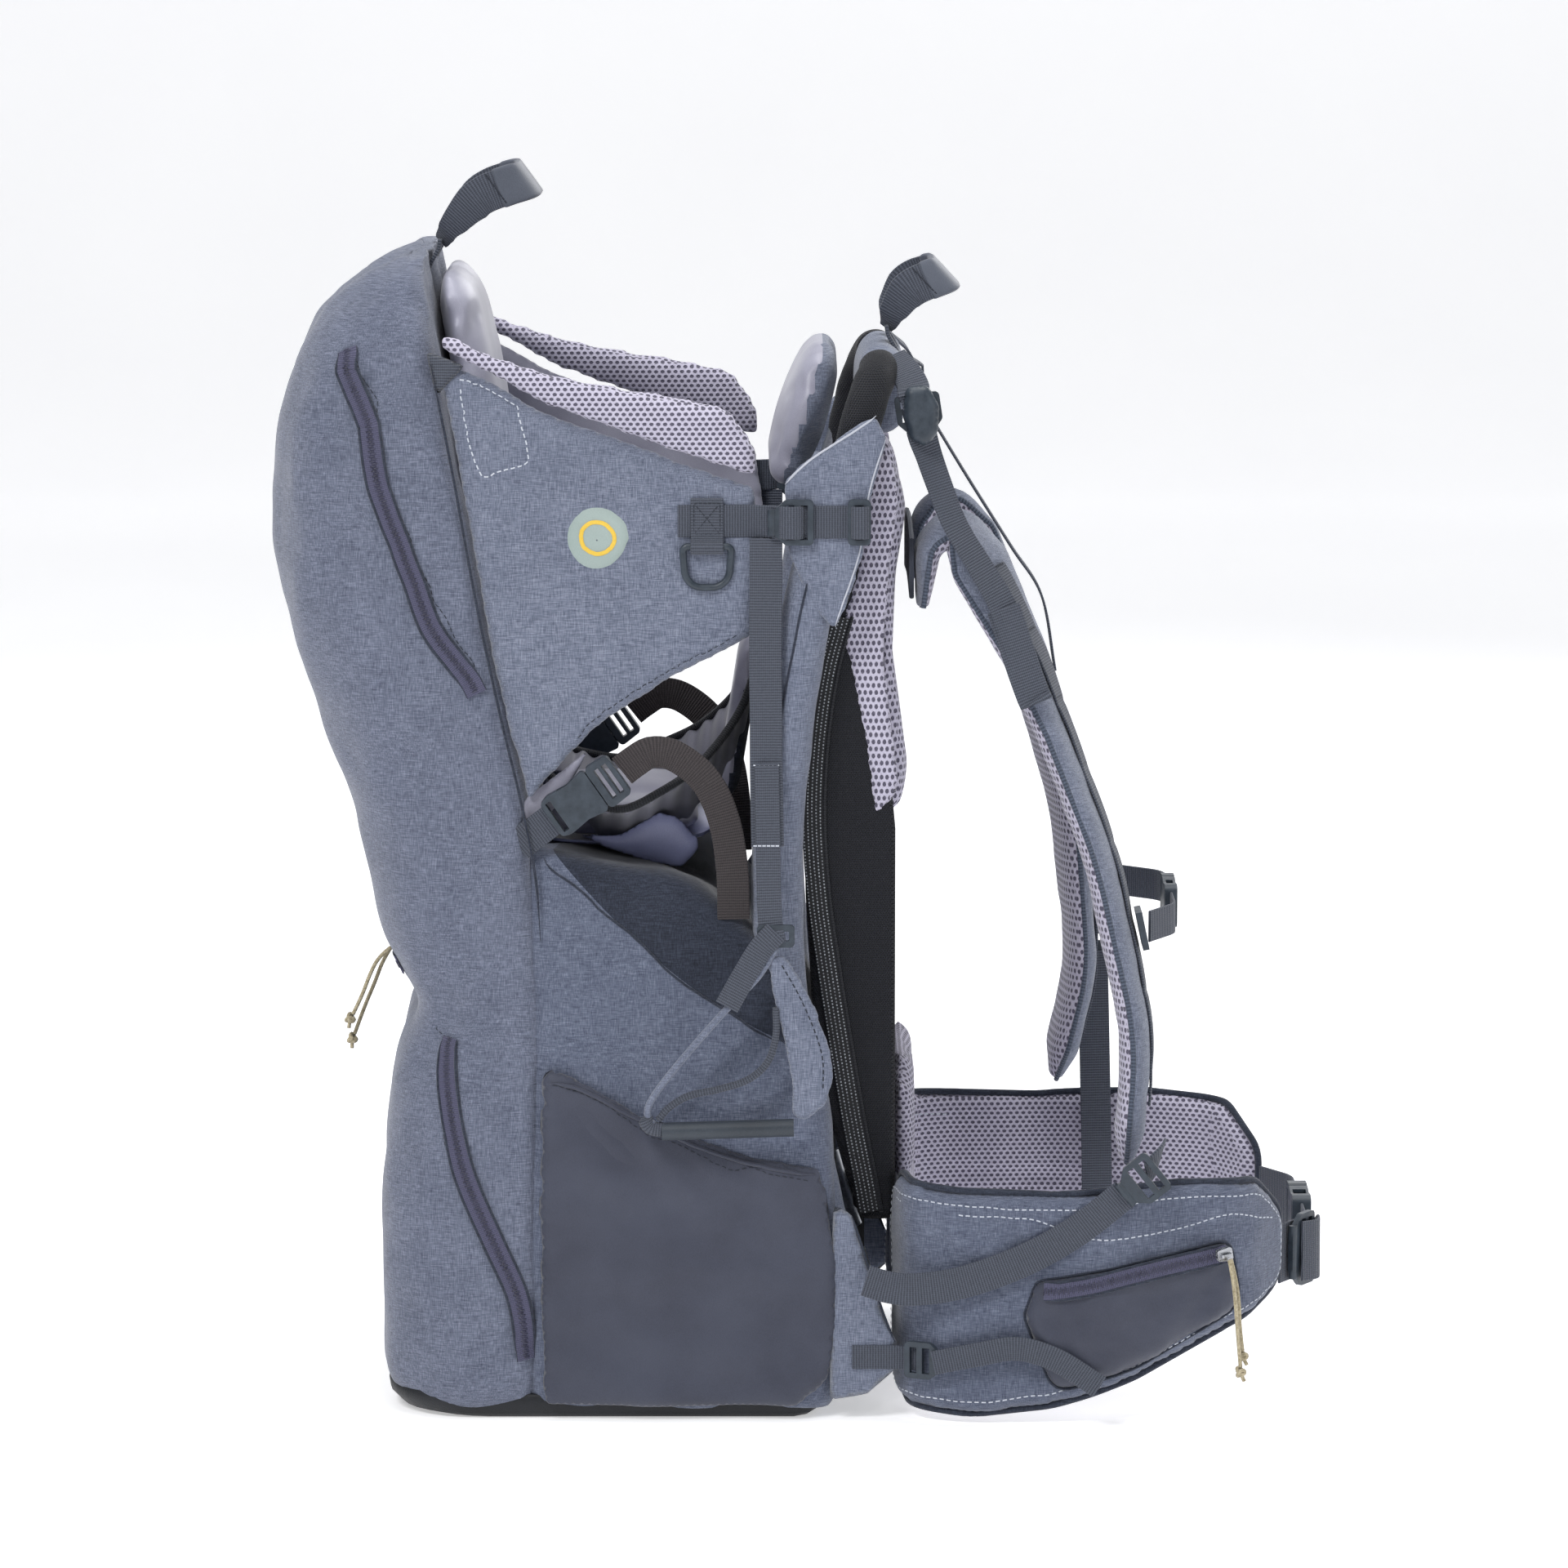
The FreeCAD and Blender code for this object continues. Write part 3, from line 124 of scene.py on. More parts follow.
class Finish:
    """One procedural material."""

    def __init__(self, name, roughness=0.6, metallic=0.0, sheen=0.0, specular=0.5):
        self.material = bpy.data.materials.new(name)
        self.material.use_nodes = True
        self.tree = self.material.node_tree
        self.shader = self.tree.nodes["Principled BSDF"]
        self.shader.inputs["Roughness"].default_value = roughness
        self.shader.inputs["Metallic"].default_value = metallic
        self.shader.inputs["Specular IOR Level"].default_value = specular
        if sheen:
            self.shader.inputs["Sheen Weight"].default_value = sheen
            self.shader.inputs["Sheen Roughness"].default_value = 0.45
        self.coord = self.tree.nodes.new("ShaderNodeTexCoord")

    def split(self, socket):
        node = self.tree.nodes.new("ShaderNodeSeparateXYZ")
        self.tree.links.new(socket, node.inputs[0])
        return [Value(self.tree, out) for out in node.outputs]

    def flat(self):
        """The two coordinates of a piece's own cloth, in metres: across, then along."""
        return self.split(self.coord.outputs["UV"])[:2]

    def facing(self):
        """Two coordinates in metres on whichever plane the surface faces most."""
        x, y, z = self.split(self.coord.outputs["Object"])
        nx, ny, nz = (part.math("ABSOLUTE") for part in self.split(self.coord.outputs["Normal"]))
        side = nx.math("GREATER_THAN", ny)
        top = nz.math("GREATER_THAN", 0.8)
        return side.choose(x, y), top.choose(z, side.choose(y, x))

    def noise(self, stretch, detail=2.0, rough=0.5):
        """Noise whose features are 1/stretch metres across in each direction."""
        scale = self.tree.nodes.new("ShaderNodeVectorMath")
        scale.operation = "MULTIPLY"
        scale.inputs[1].default_value = stretch if isinstance(stretch, tuple) else (stretch,) * 3
        self.tree.links.new(self.coord.outputs["Object"], scale.inputs[0])
        node = self.tree.nodes.new("ShaderNodeTexNoise")
        node.inputs["Scale"].default_value = 1.0
        node.inputs["Detail"].default_value = detail
        node.inputs["Roughness"].default_value = rough
        self.tree.links.new(scale.outputs[0], node.inputs["Vector"])
        return Value(self.tree, node.outputs["Fac"])

    def colour(self, value, stops):
        """Colours the surface from a value, through (position, colour) stops."""
        node = self.tree.nodes.new("ShaderNodeValToRGB")
        while len(node.color_ramp.elements) < len(stops):
            node.color_ramp.elements.new(0.5)
        for element, (position, code) in zip(node.color_ramp.elements, stops):
            element.position = position
            element.color = (*rgb(code), 1.0)
        self.tree.links.new(value.socket, node.inputs[0])
        self.tree.links.new(node.outputs[0], self.shader.inputs["Base Color"])

    def rough(self, value):
        self.tree.links.new(value.socket, self.shader.inputs["Roughness"])

    def bump(self, height, depth, round_edges=0.0):
        """Relief of the given depth in metres; round_edges also softens the solid's corners."""
        node = self.tree.nodes.new("ShaderNodeBump")
        node.inputs["Distance"].default_value = depth
        self.tree.links.new(height.socket, node.inputs["Height"])
        if round_edges:
            bevel = self.tree.nodes.new("ShaderNodeBevel")
            bevel.samples = 4
            bevel.inputs["Radius"].default_value = round_edges
            self.tree.links.new(bevel.outputs[0], node.inputs["Normal"])
        self.tree.links.new(node.outputs[0], self.shader.inputs["Normal"])


def yoke_line(x, unit=1.0):
    """Height of the seam under the bag's dark yoke."""
    return (x + 44 * unit) * (x - 18 * unit) * (0.00269 / unit) - x * 1.081 + 318.4 * unit


def heather(name, dark, middle, light, sheen=0.35, yoke=None):
    """Woven melange cloth: uneven threads both ways, lighter and darker along their length."""
    f = Finish(name, roughness=0.88, sheen=sheen, specular=0.25)
    weft = f.noise((170.0, 170.0, 2100.0), detail=3.0)
    warp = f.noise((2100.0, 2100.0, 170.0), detail=3.0)
    cloud = f.noise(38.0)
    thread = weft * 0.5 + warp * 0.5 + (cloud - 0.5) * 0.1
    # Above the yoke seam: the yoke panel's own darker denim, deepened with painted shade from the seat.
    if yoke:
        x, _, z = f.split(f.coord.outputs["Object"])
        above = (z - yoke_line(x, MM)).math("GREATER_THAN", 0.0)
        shades = [(0.17, yoke[0]), (0.25, yoke[1]), (0.34, yoke[2]), (0.67, dark), (0.75, middle), (0.84, light)]
        f.colour(thread * 0.5 + 0.5 - above * 0.5, shades)
    else:
        f.colour(thread, [(0.34, dark), (0.50, middle), (0.68, light)])
    f.bump(weft - warp, 0.00035)
    return f.material


def spacer_mesh(name, face, shade, hole, pitch=(0.0042, 0.0030), sheen=0.3):
    """Knitted spacer mesh: staggered oval holes through a soft face."""
    f = Finish(name, roughness=0.82, sheen=sheen, specular=0.3)
    u, v = f.facing()
    down = v / pitch[1]
    across = u / pitch[0] + down.math("FLOOR") * 0.5
    reach = (across.cell().math("POWER", 2.0) / 0.125 + down.cell().math("POWER", 2.0) / 0.150).math("SQRT")
    body = reach.ramp(0.62, 1.05)
    yarn = f.noise(1300.0)
    tone = body * 0.72 + (yarn - 0.5) * 0.5 + (f.noise(30.0) - 0.5) * 0.2 + 0.1
    f.colour(tone, [(0.12, hole), (0.55, shade), (0.86, face)])
    f.bump(body + yarn * 0.3, 0.0009)
    return f.material


def webbing(name, dark, light, rib=0.0017, sheen=0.15):
    """Woven tape: ribs across it, with the warp showing as fine lines along it."""
    f = Finish(name, roughness=0.7, sheen=sheen, specular=0.35)
    across, along = f.flat()
    ribs = along.wave(rib)
    warp = across.wave(0.0012)
    slub = f.noise(900.0)
    weave = ribs * 0.45 + warp * 0.2 + slub * 0.35
    f.colour(weave, [(0.22, dark), (0.75, light)])
    f.bump(ribs * 0.7 + warp * 0.3, 0.00045)
    return f.material


def plain_cloth(name, dark, light, rough, sheen, thread=1700.0, relief=0.00015, specular=0.4):
    """A close, smooth weave, with the faint shading that handling leaves."""
    f = Finish(name, roughness=rough, sheen=sheen, specular=specular)
    weave = f.noise((thread, thread, thread * 0.6))
    cloud = f.noise(24.0, detail=4.0)
    f.colour(weave * 0.35 + cloud * 0.65, [(0.32, dark), (0.68, light)])
    f.bump(weave, relief)
    return f.material


def plastic(name, dark, light, rough=0.42):
    """Moulded acetal: fine matt grain, softened corners and faint rub marks."""
    f = Finish(name, roughness=rough, specular=0.45)
    grain = f.noise(2600.0)
    rub = f.noise(140.0, detail=5.0, rough=0.65)
    f.colour(rub, [(0.35, dark), (0.72, light)])
    f.rough(rub.ramp(0.3, 0.75, rough - 0.1, rough + 0.16))
    f.bump(grain, 0.00006, round_edges=0.0006)
    return f.material


def metal(name, dark, light, rough):
    """Brushed metal with slightly softened corners."""
    f = Finish(name, roughness=rough, metallic=1.0)
    brushed = f.noise((250.0, 250.0, 2400.0), detail=4.0)
    f.colour(brushed, [(0.3, dark), (0.7, light)])
    f.rough(brushed.ramp(0.3, 0.7, rough - 0.08, rough + 0.1))
    f.bump(brushed, 0.00004, round_edges=0.0003)
    return f.material


def perforated(name):
    """Black mesh tape with three rows of pale knots."""
    f = Finish(name, roughness=0.7, sheen=0.1)
    across, along = f.flat()
    row = across / 0.0026
    knot_at = along / 0.0021 + row.math("FLOOR") * 0.5
    reach = (row.cell().math("POWER", 2.0) / 0.05 + knot_at.cell().math("POWER", 2.0) / 0.12).math("SQRT")
    knot = reach.ramp(0.6, 1.0, 1.0, 0.0)
    f.colour(knot * f.noise(600.0).ramp(0.3, 0.7, 0.3, 1.0), [(0.1, "0f1116"), (0.9, "b4bac2")])
    f.bump(knot, 0.0006)
    return f.material


def braid(name, dark, light):
    """Round braided cord: two sets of strands wound opposite ways, read from the surface itself."""
    f = Finish(name, roughness=0.75, sheen=0.2)
    first = f.noise((900.0, 900.0, 420.0))
    strand = f.noise((420.0, 1500.0, 900.0))
    f.colour(first * 0.5 + strand * 0.5, [(0.36, dark), (0.62, light)])
    f.bump(first - strand, 0.0004)
    return f.material


DENIM = heather("denim", "4e5466", "6f7688", "9197a8")
# Painted shade: a darker copy of the denim for the rear bag, which catches less light than the walls.
DENIM_REAR_PAINTED_SHADE = heather("denim_rear_painted_shade", "464c5d", "666c7e", "878d9f")
# Painted shade: a darker copy of the denim for the hip belt, which sits low and angled away from the light.
DENIM_PAINTED_SHADE = heather("denim_painted_shade", "414758", "5d6477", "7e8596")
DENIM_DARK = heather("denim_dark", "1f232d", "313643", "464c5a", sheen=0.2)
# Painted shade: below the yoke seam, the darker copy of the denim. Above the seam, the yoke panel's own darker
# colour, deepened with painted shade from the seat.
DENIM_YOKE_AND_PAINTED_SHADE = heather("denim_yoke_and_painted_shade", "414758", "5d6477", "7e8596", yoke=("1b1f29", "2c313e", "414756"))
STRETCH = plain_cloth("stretch_cloth", "353846", "434756", 0.6, 0.18)
LILAC = spacer_mesh("spacer_mesh_lilac", "c4c0d2", "a39eb3", "555263")
LILAC_TALL = spacer_mesh("spacer_mesh_tall", "c4c0d2", "a39eb3", "555263", pitch=(0.0034, 0.0044))
BLACK_MESH = spacer_mesh("black_mesh", "1a1c24", "13151b", "08090c", pitch=(0.0016, 0.0014), sheen=0.1)
LINING = plain_cloth("satin_lining", "8b8a9b", "a9a9b7", 0.38, 0.3, thread=2400.0, relief=0.00006)
LINER_GREY = plain_cloth("gathered_liner", "62626f", "85858f", 0.55, 0.3, thread=2400.0, relief=0.0001)
SHELL = plain_cloth("seat_shell", "7f83a8", "9a9fc4", 0.3, 0.1, thread=2400.0, relief=0.00004)
BASE_CLOTH = plain_cloth("coated_base", "101216", "1d2026", 0.5, 0.05, relief=0.0003)
WEBBING = webbing("webbing", "343842", "555a66")
WEBBING_BROWN = webbing("webbing_brown", "2a2628", "443e3f")
BINDING = webbing("binding", "333a48", "565f70", rib=0.0022)
BLACK_WEB = webbing("webbing_black", "15161a", "282a30")
PLASTIC = plastic("buckle_plastic", "2c343d", "3e4751")
ZIP_TAPE = webbing("zip_tape", "43435a", "5b5b74", rib=0.0012)
ZIP_COIL = plastic("zip_coil", "2b2b3b", "47475d", rough=0.35)
ZIP_METAL = metal("zip_metal", "8b8d92", "c3c5c9", 0.3)
ALUMINIUM = metal("aluminium", "9da1a6", "c2c5c9", 0.36)
STEEL = metal("bolt_steel", "7c7f84", "b0b3b8", 0.3)
BRACKET = plastic("bracket_plastic", "1a1c20", "2a2d33", rough=0.5)
RUBBER = plain_cloth("stirrup_rubber", "2b3138", "3d444d", 0.45, 0.05, relief=0.0002)
CORD = braid("cord", "8d8266", "c3b79a")
THREAD = plain_cloth("stitching", "b9bfcc", "d7dbe4", 0.7, 0.2)
THREAD_DARK = plain_cloth("stitching_dark", "22262f", "2e333e", 0.7, 0.2)
PIPING_PALE = plain_cloth("piping_pale", "a9adb9", "c6c9d2", 0.6, 0.2)
PERFORATED = perforated("perforated_tape")
HANDLE = plain_cloth("grip_sleeve", "474c57", "5a5f6b", 0.62, 0.25)
BADGE_DISC = plain_cloth("badge_disc", "94a39f", "a3b1ad", 0.6, 0.1)
BADGE_RING = plain_cloth("badge_ring", "dcb53c", "eac552", 0.55, 0.1)


# --- Shapes

def resample(points, count):
    """Evenly spaced points along a polyline."""
    points = np.asarray(points, float)
    run = np.concatenate([[0], np.cumsum(np.linalg.norm(np.diff(points, axis=0), axis=1))])
    at = np.linspace(0, run[-1], count)
    return np.stack([np.interp(at, run, points[:, k]) for k in range(points.shape[1])], axis=1)


def length_of(points):
    return float(np.linalg.norm(np.diff(np.asarray(points, float), axis=0), axis=1).sum())


def flowing(points, step=4.0):
    """Even points on a smooth curve through the given ones."""
    p = np.asarray(points, float)
    p = np.vstack([2 * p[0] - p[1], p, 2 * p[-1] - p[-2]])
    out = []
    for a, b, c, d in zip(p, p[1:], p[2:], p[3:]):
        for t in np.linspace(0, 1, 12, endpoint=False):
            out.append(0.5 * (2 * b + (c - a) * t + (2 * a - 5 * b + 4 * c - d) * t ** 2
                              + (3 * b - a - 3 * c + d) * t ** 3))
    out.append(p[-2])
    return resample(out, max(3, int(length_of(out) / step) + 1))


def eased(points, radii, step=4.0):
    """Even points along straight runs whose corners are eased by about the given radii."""
    p = [np.asarray(q, float) for q in points]
    radii = radii if isinstance(radii, (list, tuple)) else [radii] * (len(p) - 2)
    out = [p[0]]
    for i, radius in enumerate(radii, 1):
        back, ahead = p[i - 1] - p[i], p[i + 1] - p[i]
        run_b, run_a = np.linalg.norm(back), np.linalg.norm(ahead)
        half = math.acos(max(-1, min(1, float(back @ ahead) / (run_b * run_a)))) / 2
        reach = min(radius / max(math.tan(half), 1e-3), 0.48 * run_b, 0.48 * run_a)
        first, last = p[i] + back / run_b * reach, p[i] + ahead / run_a * reach
        out += [(1 - t) ** 2 * first + 2 * t * (1 - t) * p[i] + t * t * last for t in np.linspace(0, 1, 9)]
    out.append(p[-1])
    return resample(out, max(3, int(length_of(out) / step) + 1))


def piece(name, points, faces, finishes, body="carrier", uvs=None, indices=None, closed=True, sharp=None):
    """A mesh piece from points in millimetres, riding on a body. uvs is one pair in metres for each face corner."""
    mesh = bpy.data.meshes.new(name)
    mesh.from_pydata([tuple(np.asarray(p) * MM) for p in points], [], [list(f) for f in faces])
    if uvs is not None:
        layer = mesh.uv_layers.new(name="cloth")
        layer.data.foreach_set("uv", np.asarray(uvs, dtype=np.float32).ravel())
    for finish in (finishes if isinstance(finishes, (list, tuple)) else [finishes]):
        mesh.materials.append(finish)
    if indices is not None:
        mesh.polygons.foreach_set("material_index", np.asarray(indices, dtype=np.int32))
    obj = bpy.data.objects.new(name, mesh)
    bpy.context.collection.objects.link(obj)
    work = bmesh.new()
    work.from_mesh(mesh)
    if closed:
        bmesh.ops.recalc_face_normals(work, faces=work.faces)
    for face in work.faces:
        face.smooth = True
    if sharp:
        for edge in work.edges:
            edge.smooth = len(edge.link_faces) < 2 or edge.calc_face_angle(0.0) < math.radians(sharp)
    work.to_mesh(mesh)
    work.free()
    if body:
        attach(obj, body)
    return obj


def loft(name, rings, finishes, body="carrier", cap=True, sharp=None, columns=None):
    """A skin over closed rings of equal count. columns gives a finish's number for each column of faces."""
    rings = [np.asarray(r, float) for r in rings]
    count = len(rings[0])
    points = np.concatenate(rings)
    girth = [np.concatenate([[0], np.cumsum(np.linalg.norm(np.roll(r, -1, axis=0) - r, axis=1))]) for r in rings]
    rise = np.concatenate([[0],
                           np.cumsum([np.linalg.norm(b - a, axis=1).mean() for a, b in zip(rings, rings[1:])])])
    faces, uvs = [], []
    for i in range(len(rings) - 1):
        for j in range(count):
            k = (j + 1) % count
            faces.append((i * count + j, i * count + k, (i + 1) * count + k, (i + 1) * count + j))
            uvs += [(girth[i][j], rise[i]), (girth[i][j + 1], rise[i]), (girth[i + 1][j + 1], rise[i + 1]),
                    (girth[i + 1][j], rise[i + 1])]
    if cap:
        for ring, order in ((0, range(count)), (len(rings) - 1, range(count))):
            faces.append([ring * count + j for j in order])
            uvs += [(points[ring * count + j][0], points[ring * count + j][1]) for j in order]
    indices = None
    if columns:
        indices = [columns[i % count] if i < (len(rings) - 1) * count else 0 for i in range(len(faces))]
    return piece(name, points, faces, finishes, body, np.asarray(uvs) * MM, indices, sharp=sharp)


def units(vectors):
    """Vectors at length one. One with no length takes the direction of the nearest that has one."""
    length = np.linalg.norm(vectors, axis=1)
    known = np.flatnonzero(length > 1e-9)
    pick = known[np.abs(np.arange(len(vectors))[:, None] - known[None]).argmin(axis=1)]
    return vectors[pick] / length[pick][:, None]


def frames_along(path, across):
    """For each point of a path, its across vector squared to the path, and the normal to both."""
    path = np.asarray(path, float)
    along = units(np.gradient(path, axis=0))
    side = np.broadcast_to(np.asarray(across, float), path.shape).copy()
    side -= (side * along).sum(axis=1)[:, None] * along
    side = units(side)
    return side, np.cross(side, along)


def strap(name, path, across, section, finishes, body="carrier", shape=None, sharp=None, columns=None):
    """A closed section of (across, off the face) points carried along a path. shape(t) scales both along it."""
    path = np.asarray(path, float)
    side, normal = frames_along(path, across)
    rings = []
    for i, centre in enumerate(path):
        wide, thick = shape(i / (len(path) - 1)) if shape else (1.0, 1.0)
        rings.append([centre + side[i] * u * wide + normal[i] * n * thick for u, n in section])
    return loft(name, rings, finishes, body, sharp=sharp, columns=columns)


def tape_section(width, thick=WEB):
    """The section of webbing: flat faces with rounded selvedges."""
    w, t = width / 2, thick / 2
    return [(-w, 0), (-w + 0.4, -t * 0.9), (-w + 1.3, -t), (0, -t), (w - 1.3, -t), (w - 0.4, -t * 0.9),
            (w, 0), (w - 0.4, t * 0.9), (w - 1.3, t), (0, t), (-w + 1.3, t), (-w + 0.4, t * 0.9)]


def web(name, path, across, width=20.0, finish=None, body="carrier", thick=WEB, shape=None):
    """A flat piece of webbing along a path, its width along across."""
    return strap(name, path, across, tape_section(width, thick), finish or WEBBING, body, shape, sharp=50)


def cushion_section(width, thick, count=22, fullness=3.2):
    """A padded strap's section: full in the middle, pinched to an edge on both sides."""
    w, t = width / 2, thick / 2
    us = [-math.cos(math.pi * i / count) * w for i in range(count + 1)]
    crown = [t * (1 - abs(u / w) ** fullness) ** 0.6 for u in us]
    lower = [(u, -n) for u, n in zip(us, crown)]
    upper = [(u, n) for u, n in zip(us[1:-1], crown[1:-1])]
    return lower + upper[::-1]


def tube(name, path, radius, finish, body="carrier", sides=8, taper=False):
    """A round cord, piping or sleeve along a path."""
    path = np.asarray(path, float)
    up = np.array([0.0, 0.0, 1.0])
    along = units(np.gradient(path, axis=0))
    if np.abs(along @ up).max() > 0.9:
        up = np.array([0.0, 1.0, 0.0]) if np.abs(along[:, 1]).max() < 0.9 else np.array([1.0, 0.0, 0.0])
    ring = [(radius * math.cos(2 * math.pi * k / sides), radius * math.sin(2 * math.pi * k / sides))
            for k in range(sides)]
    return strap(name, path, up, ring, finish, body, (lambda t: (max(0.3, min(1.0, 12 * t, 12 * (1 - t))),) * 2)
                 if taper else None)


def edge_distance(points, border):
    """Distance of 2-D points from a closed outline, and whether they are inside it."""
    points, border = np.asarray(points, float), np.asarray(border, float)
    ends = np.roll(border, -1, axis=0)
    run = ends - border
    reach = points[:, None, :] - border[None]
    t = np.clip((reach * run).sum(-1) / np.maximum((run * run).sum(-1), 1e-9), 0, 1)
    distance = np.linalg.norm(reach - t[..., None] * run, axis=-1).min(axis=1)
    y = points[:, 1][:, None]
    crosses = (border[:, 1] > y) != (ends[:, 1] > y)
    slope = np.where(np.abs(run[:, 1]) < 1e-12, 1e-12, run[:, 1])
    inside = (crosses & (points[:, 0][:, None] < run[:, 0] * (y - border[:, 1]) / slope + border[:,
            0])).sum(axis=1) % 2 == 1
    return distance, inside


def rim_of(outline, step, ease=8.0):
    """Even points round a closed outline with eased corners."""
    corners = list(outline)
    middle = [(a + b) / 2 for a, b in zip(corners[-1][:2], corners[0][:2])]
    loop = eased([middle] + [c[:2] for c in corners] + [middle], [c[2] if len(c) > 2 else ease for c in corners],
                 step)
    return loop[:-1]


def filled(outline, step, ease=8.0):
    """Points and triangles that fill an outline, the outline's own points first."""
    border = rim_of(outline, step, ease)
    low, high = border.min(axis=0), border.max(axis=0)
    rows = []
    for j, v in enumerate(np.arange(low[1], high[1], step * 0.87)):
        rows += [(u, v) for u in np.arange(low[0] + (j % 2) * step / 2, high[0], step)]
    grid = np.asarray(rows)
    distance, inside = edge_distance(grid, border)
    grid = grid[inside & (distance > 0.6 * step)]
    coords = np.vstack([border, grid])
    edges = [(i, (i + 1) % len(border)) for i in range(len(border))]
    verts, _, tris, *_ = delaunay_2d_cdt([Vector(c) for c in coords], edges, [], 0, 1e-7)
    verts = np.asarray([tuple(v) for v in verts])
    middles = np.asarray([verts[list(t)].mean(axis=0) for t in tris])
    _, keep = edge_distance(middles, border)
    return verts, [t for t, k in zip(tris, keep) if k], border


def dome(height, reach, flat=0.0):
    """A stuffed face's height over the distance from its edge."""
    return lambda d: height * np.sqrt(np.clip(1 - (1 - np.clip(d / reach, 0, 1)) ** 2, 0,
                                              1)) + flat * np.clip(d / 60.0, 0, 1)


def pad(name, outline, place, front, back, finishes, body="carrier", step=4.0, ease=8.0, channels=(), relief=None):
    """A stuffed panel. place(a, b, n) is the point n off the panel's middle surface. front and back give n over the
    distance from the edge. channels are sewn lines of ((a, b), (a, b), width, depth). relief(a, b) adds to the
    front."""
    verts, tris, border = filled(outline, step, ease)
    distance, _ = edge_distance(verts, border)
    on_edge = distance < 0.05 * step
    up, down = front(distance), -back(distance)
    if relief:
        up = up + np.where(on_edge, 0.0, np.asarray([relief(a, b) for a, b in verts]) * np.clip(distance / 8.0, 0,
                1))
    for start, end, width, depth in channels:
        start, end = np.asarray(start, float), np.asarray(end, float)
        run = end - start
        t = np.clip(((verts - start) @ run) / (run @ run), 0, 1)
        off = np.linalg.norm(verts - start - t[:, None] * run, axis=1)
        pinch = 1 - depth * np.exp(-(off / width) ** 2)
        up, down = up * pinch, down * (1 - (1 - pinch) * 0.3)
    count = len(verts)
    points = [place(a, b, n if not edge else 0.0) for (a, b), n, edge in zip(verts, up, on_edge)]
    lower = {}
    for i in range(count):
        if on_edge[i]:
            lower[i] = i
        else:
            lower[i] = len(points)
            points.append(place(verts[i][0], verts[i][1], down[i]))
    faces = [tuple(t) for t in tris] + [tuple(lower[i] for i in reversed(t)) for t in tris]
    uvs = [tuple(verts[i] * MM) for t in tris for i in t] + [tuple(verts[i] * MM) for t in tris
                                                             for i in reversed(t)]
    indices = None
    if isinstance(finishes, (list, tuple)) and len(finishes) > 1:
        indices = [0] * len(tris) + [1] * len(tris)
    return piece(name, points, faces, finishes, body, uvs, indices)


def beside(side, y):
    """A panel's place in the plane y from the middle on one side; n is outwards."""
    return lambda a, b, n: (a, side * (y + n), b)


def level(y, route):
    """Points of an (x, z) route, all at one y."""
    return [(x, y, z) for x, z in route]


def outward(side, route, step):
    """A smooth line through (x, distance from the middle, z) points on one side."""
    return flowing([(x, side * y, z) for x, y, z in route], step)


def soften(obj, levels=1):
    """Rounds a piece with a subdivision surface."""
    obj.modifiers.new("soften", "SUBSURF").levels = levels
    obj.modifiers["soften"].render_levels = levels


def inflate(obj, voxel=5.0, cap=6.0, pressure=4.0):
    """Stuffs a piece by cloth simulation: pressure from inside, with no point moving more than cap."""
    skin = tree_of(obj)
    kinds = [face.material_index for face in obj.data.polygons]
    finishes = list(obj.data.materials)
    remesh = obj.modifiers.new("remesh", "REMESH")
    remesh.mode = "VOXEL"
    remesh.voxel_size = voxel * MM
    view = bpy.context.evaluated_depsgraph_get()
    mesh = bpy.data.meshes.new_from_object(obj.evaluated_get(view))
    obj.modifiers.remove(remesh)
    mesh.materials.clear()
    for finish in finishes:
        mesh.materials.append(finish)
    for face in mesh.polygons:
        face.material_index = kinds[skin.find_nearest(face.center)[2]]
    obj.data = mesh
    start = np.asarray([tuple(v.co) for v in mesh.vertices])
    cloth = obj.modifiers.new("stuffing", "CLOTH")
    cloth.settings.quality = 4
    cloth.settings.use_pressure = True
    cloth.settings.uniform_pressure_force = pressure
    cloth.settings.effector_weights.gravity = 0.0
    cloth.settings.tension_stiffness = cloth.settings.compression_stiffness = 8.0
    cloth.collision_settings.use_self_collision = False
    for number in range(1, STUFFING_FRAMES + 1):
        bpy.context.scene.frame_set(number)
    blown = obj.evaluated_get(bpy.context.evaluated_depsgraph_get()).to_mesh()
    end = np.asarray([tuple(v.co) for v in blown.vertices])
    obj.evaluated_get(bpy.context.evaluated_depsgraph_get()).to_mesh_clear()
    obj.modifiers.remove(cloth)
    bpy.context.scene.frame_set(1)
    move = end - start
    move -= move.mean(axis=0)
    size = np.linalg.norm(move, axis=1)[:, None]
    move *= np.minimum(1.0, cap * MM / np.maximum(size, 1e-9))
    mesh.vertices.foreach_set("co", (start + move).ravel())
    mesh.update()
    for face in mesh.polygons:
        face.use_smooth = True
    soften(obj)


def wrinkle(obj, depth, stretch, seed=0.0, where=None, detail=3):
    """Moves a piece's skin in and out with soft noise, stretch millimetres across in each direction."""
    mesh = obj.data
    normals = [v.normal.copy() for v in mesh.vertices]
    for vertex, normal in zip(mesh.vertices, normals):
        p = vertex.co / MM
        spot = Vector((p.x / stretch[0] + seed, p.y / stretch[1] + seed * 1.7, p.z / stretch[2] - seed))
        amount = noise.fractal(spot, 0.9, 2.1, detail) * depth
        if where:
            amount *= where(p)
        vertex.co += normal * amount * MM
    mesh.update()


RIDGE, RIDGE_AT = 0.45, 1.7  # a fold's ridges: height for its depth, and distance for its width
STUFFING_FRAMES = 20


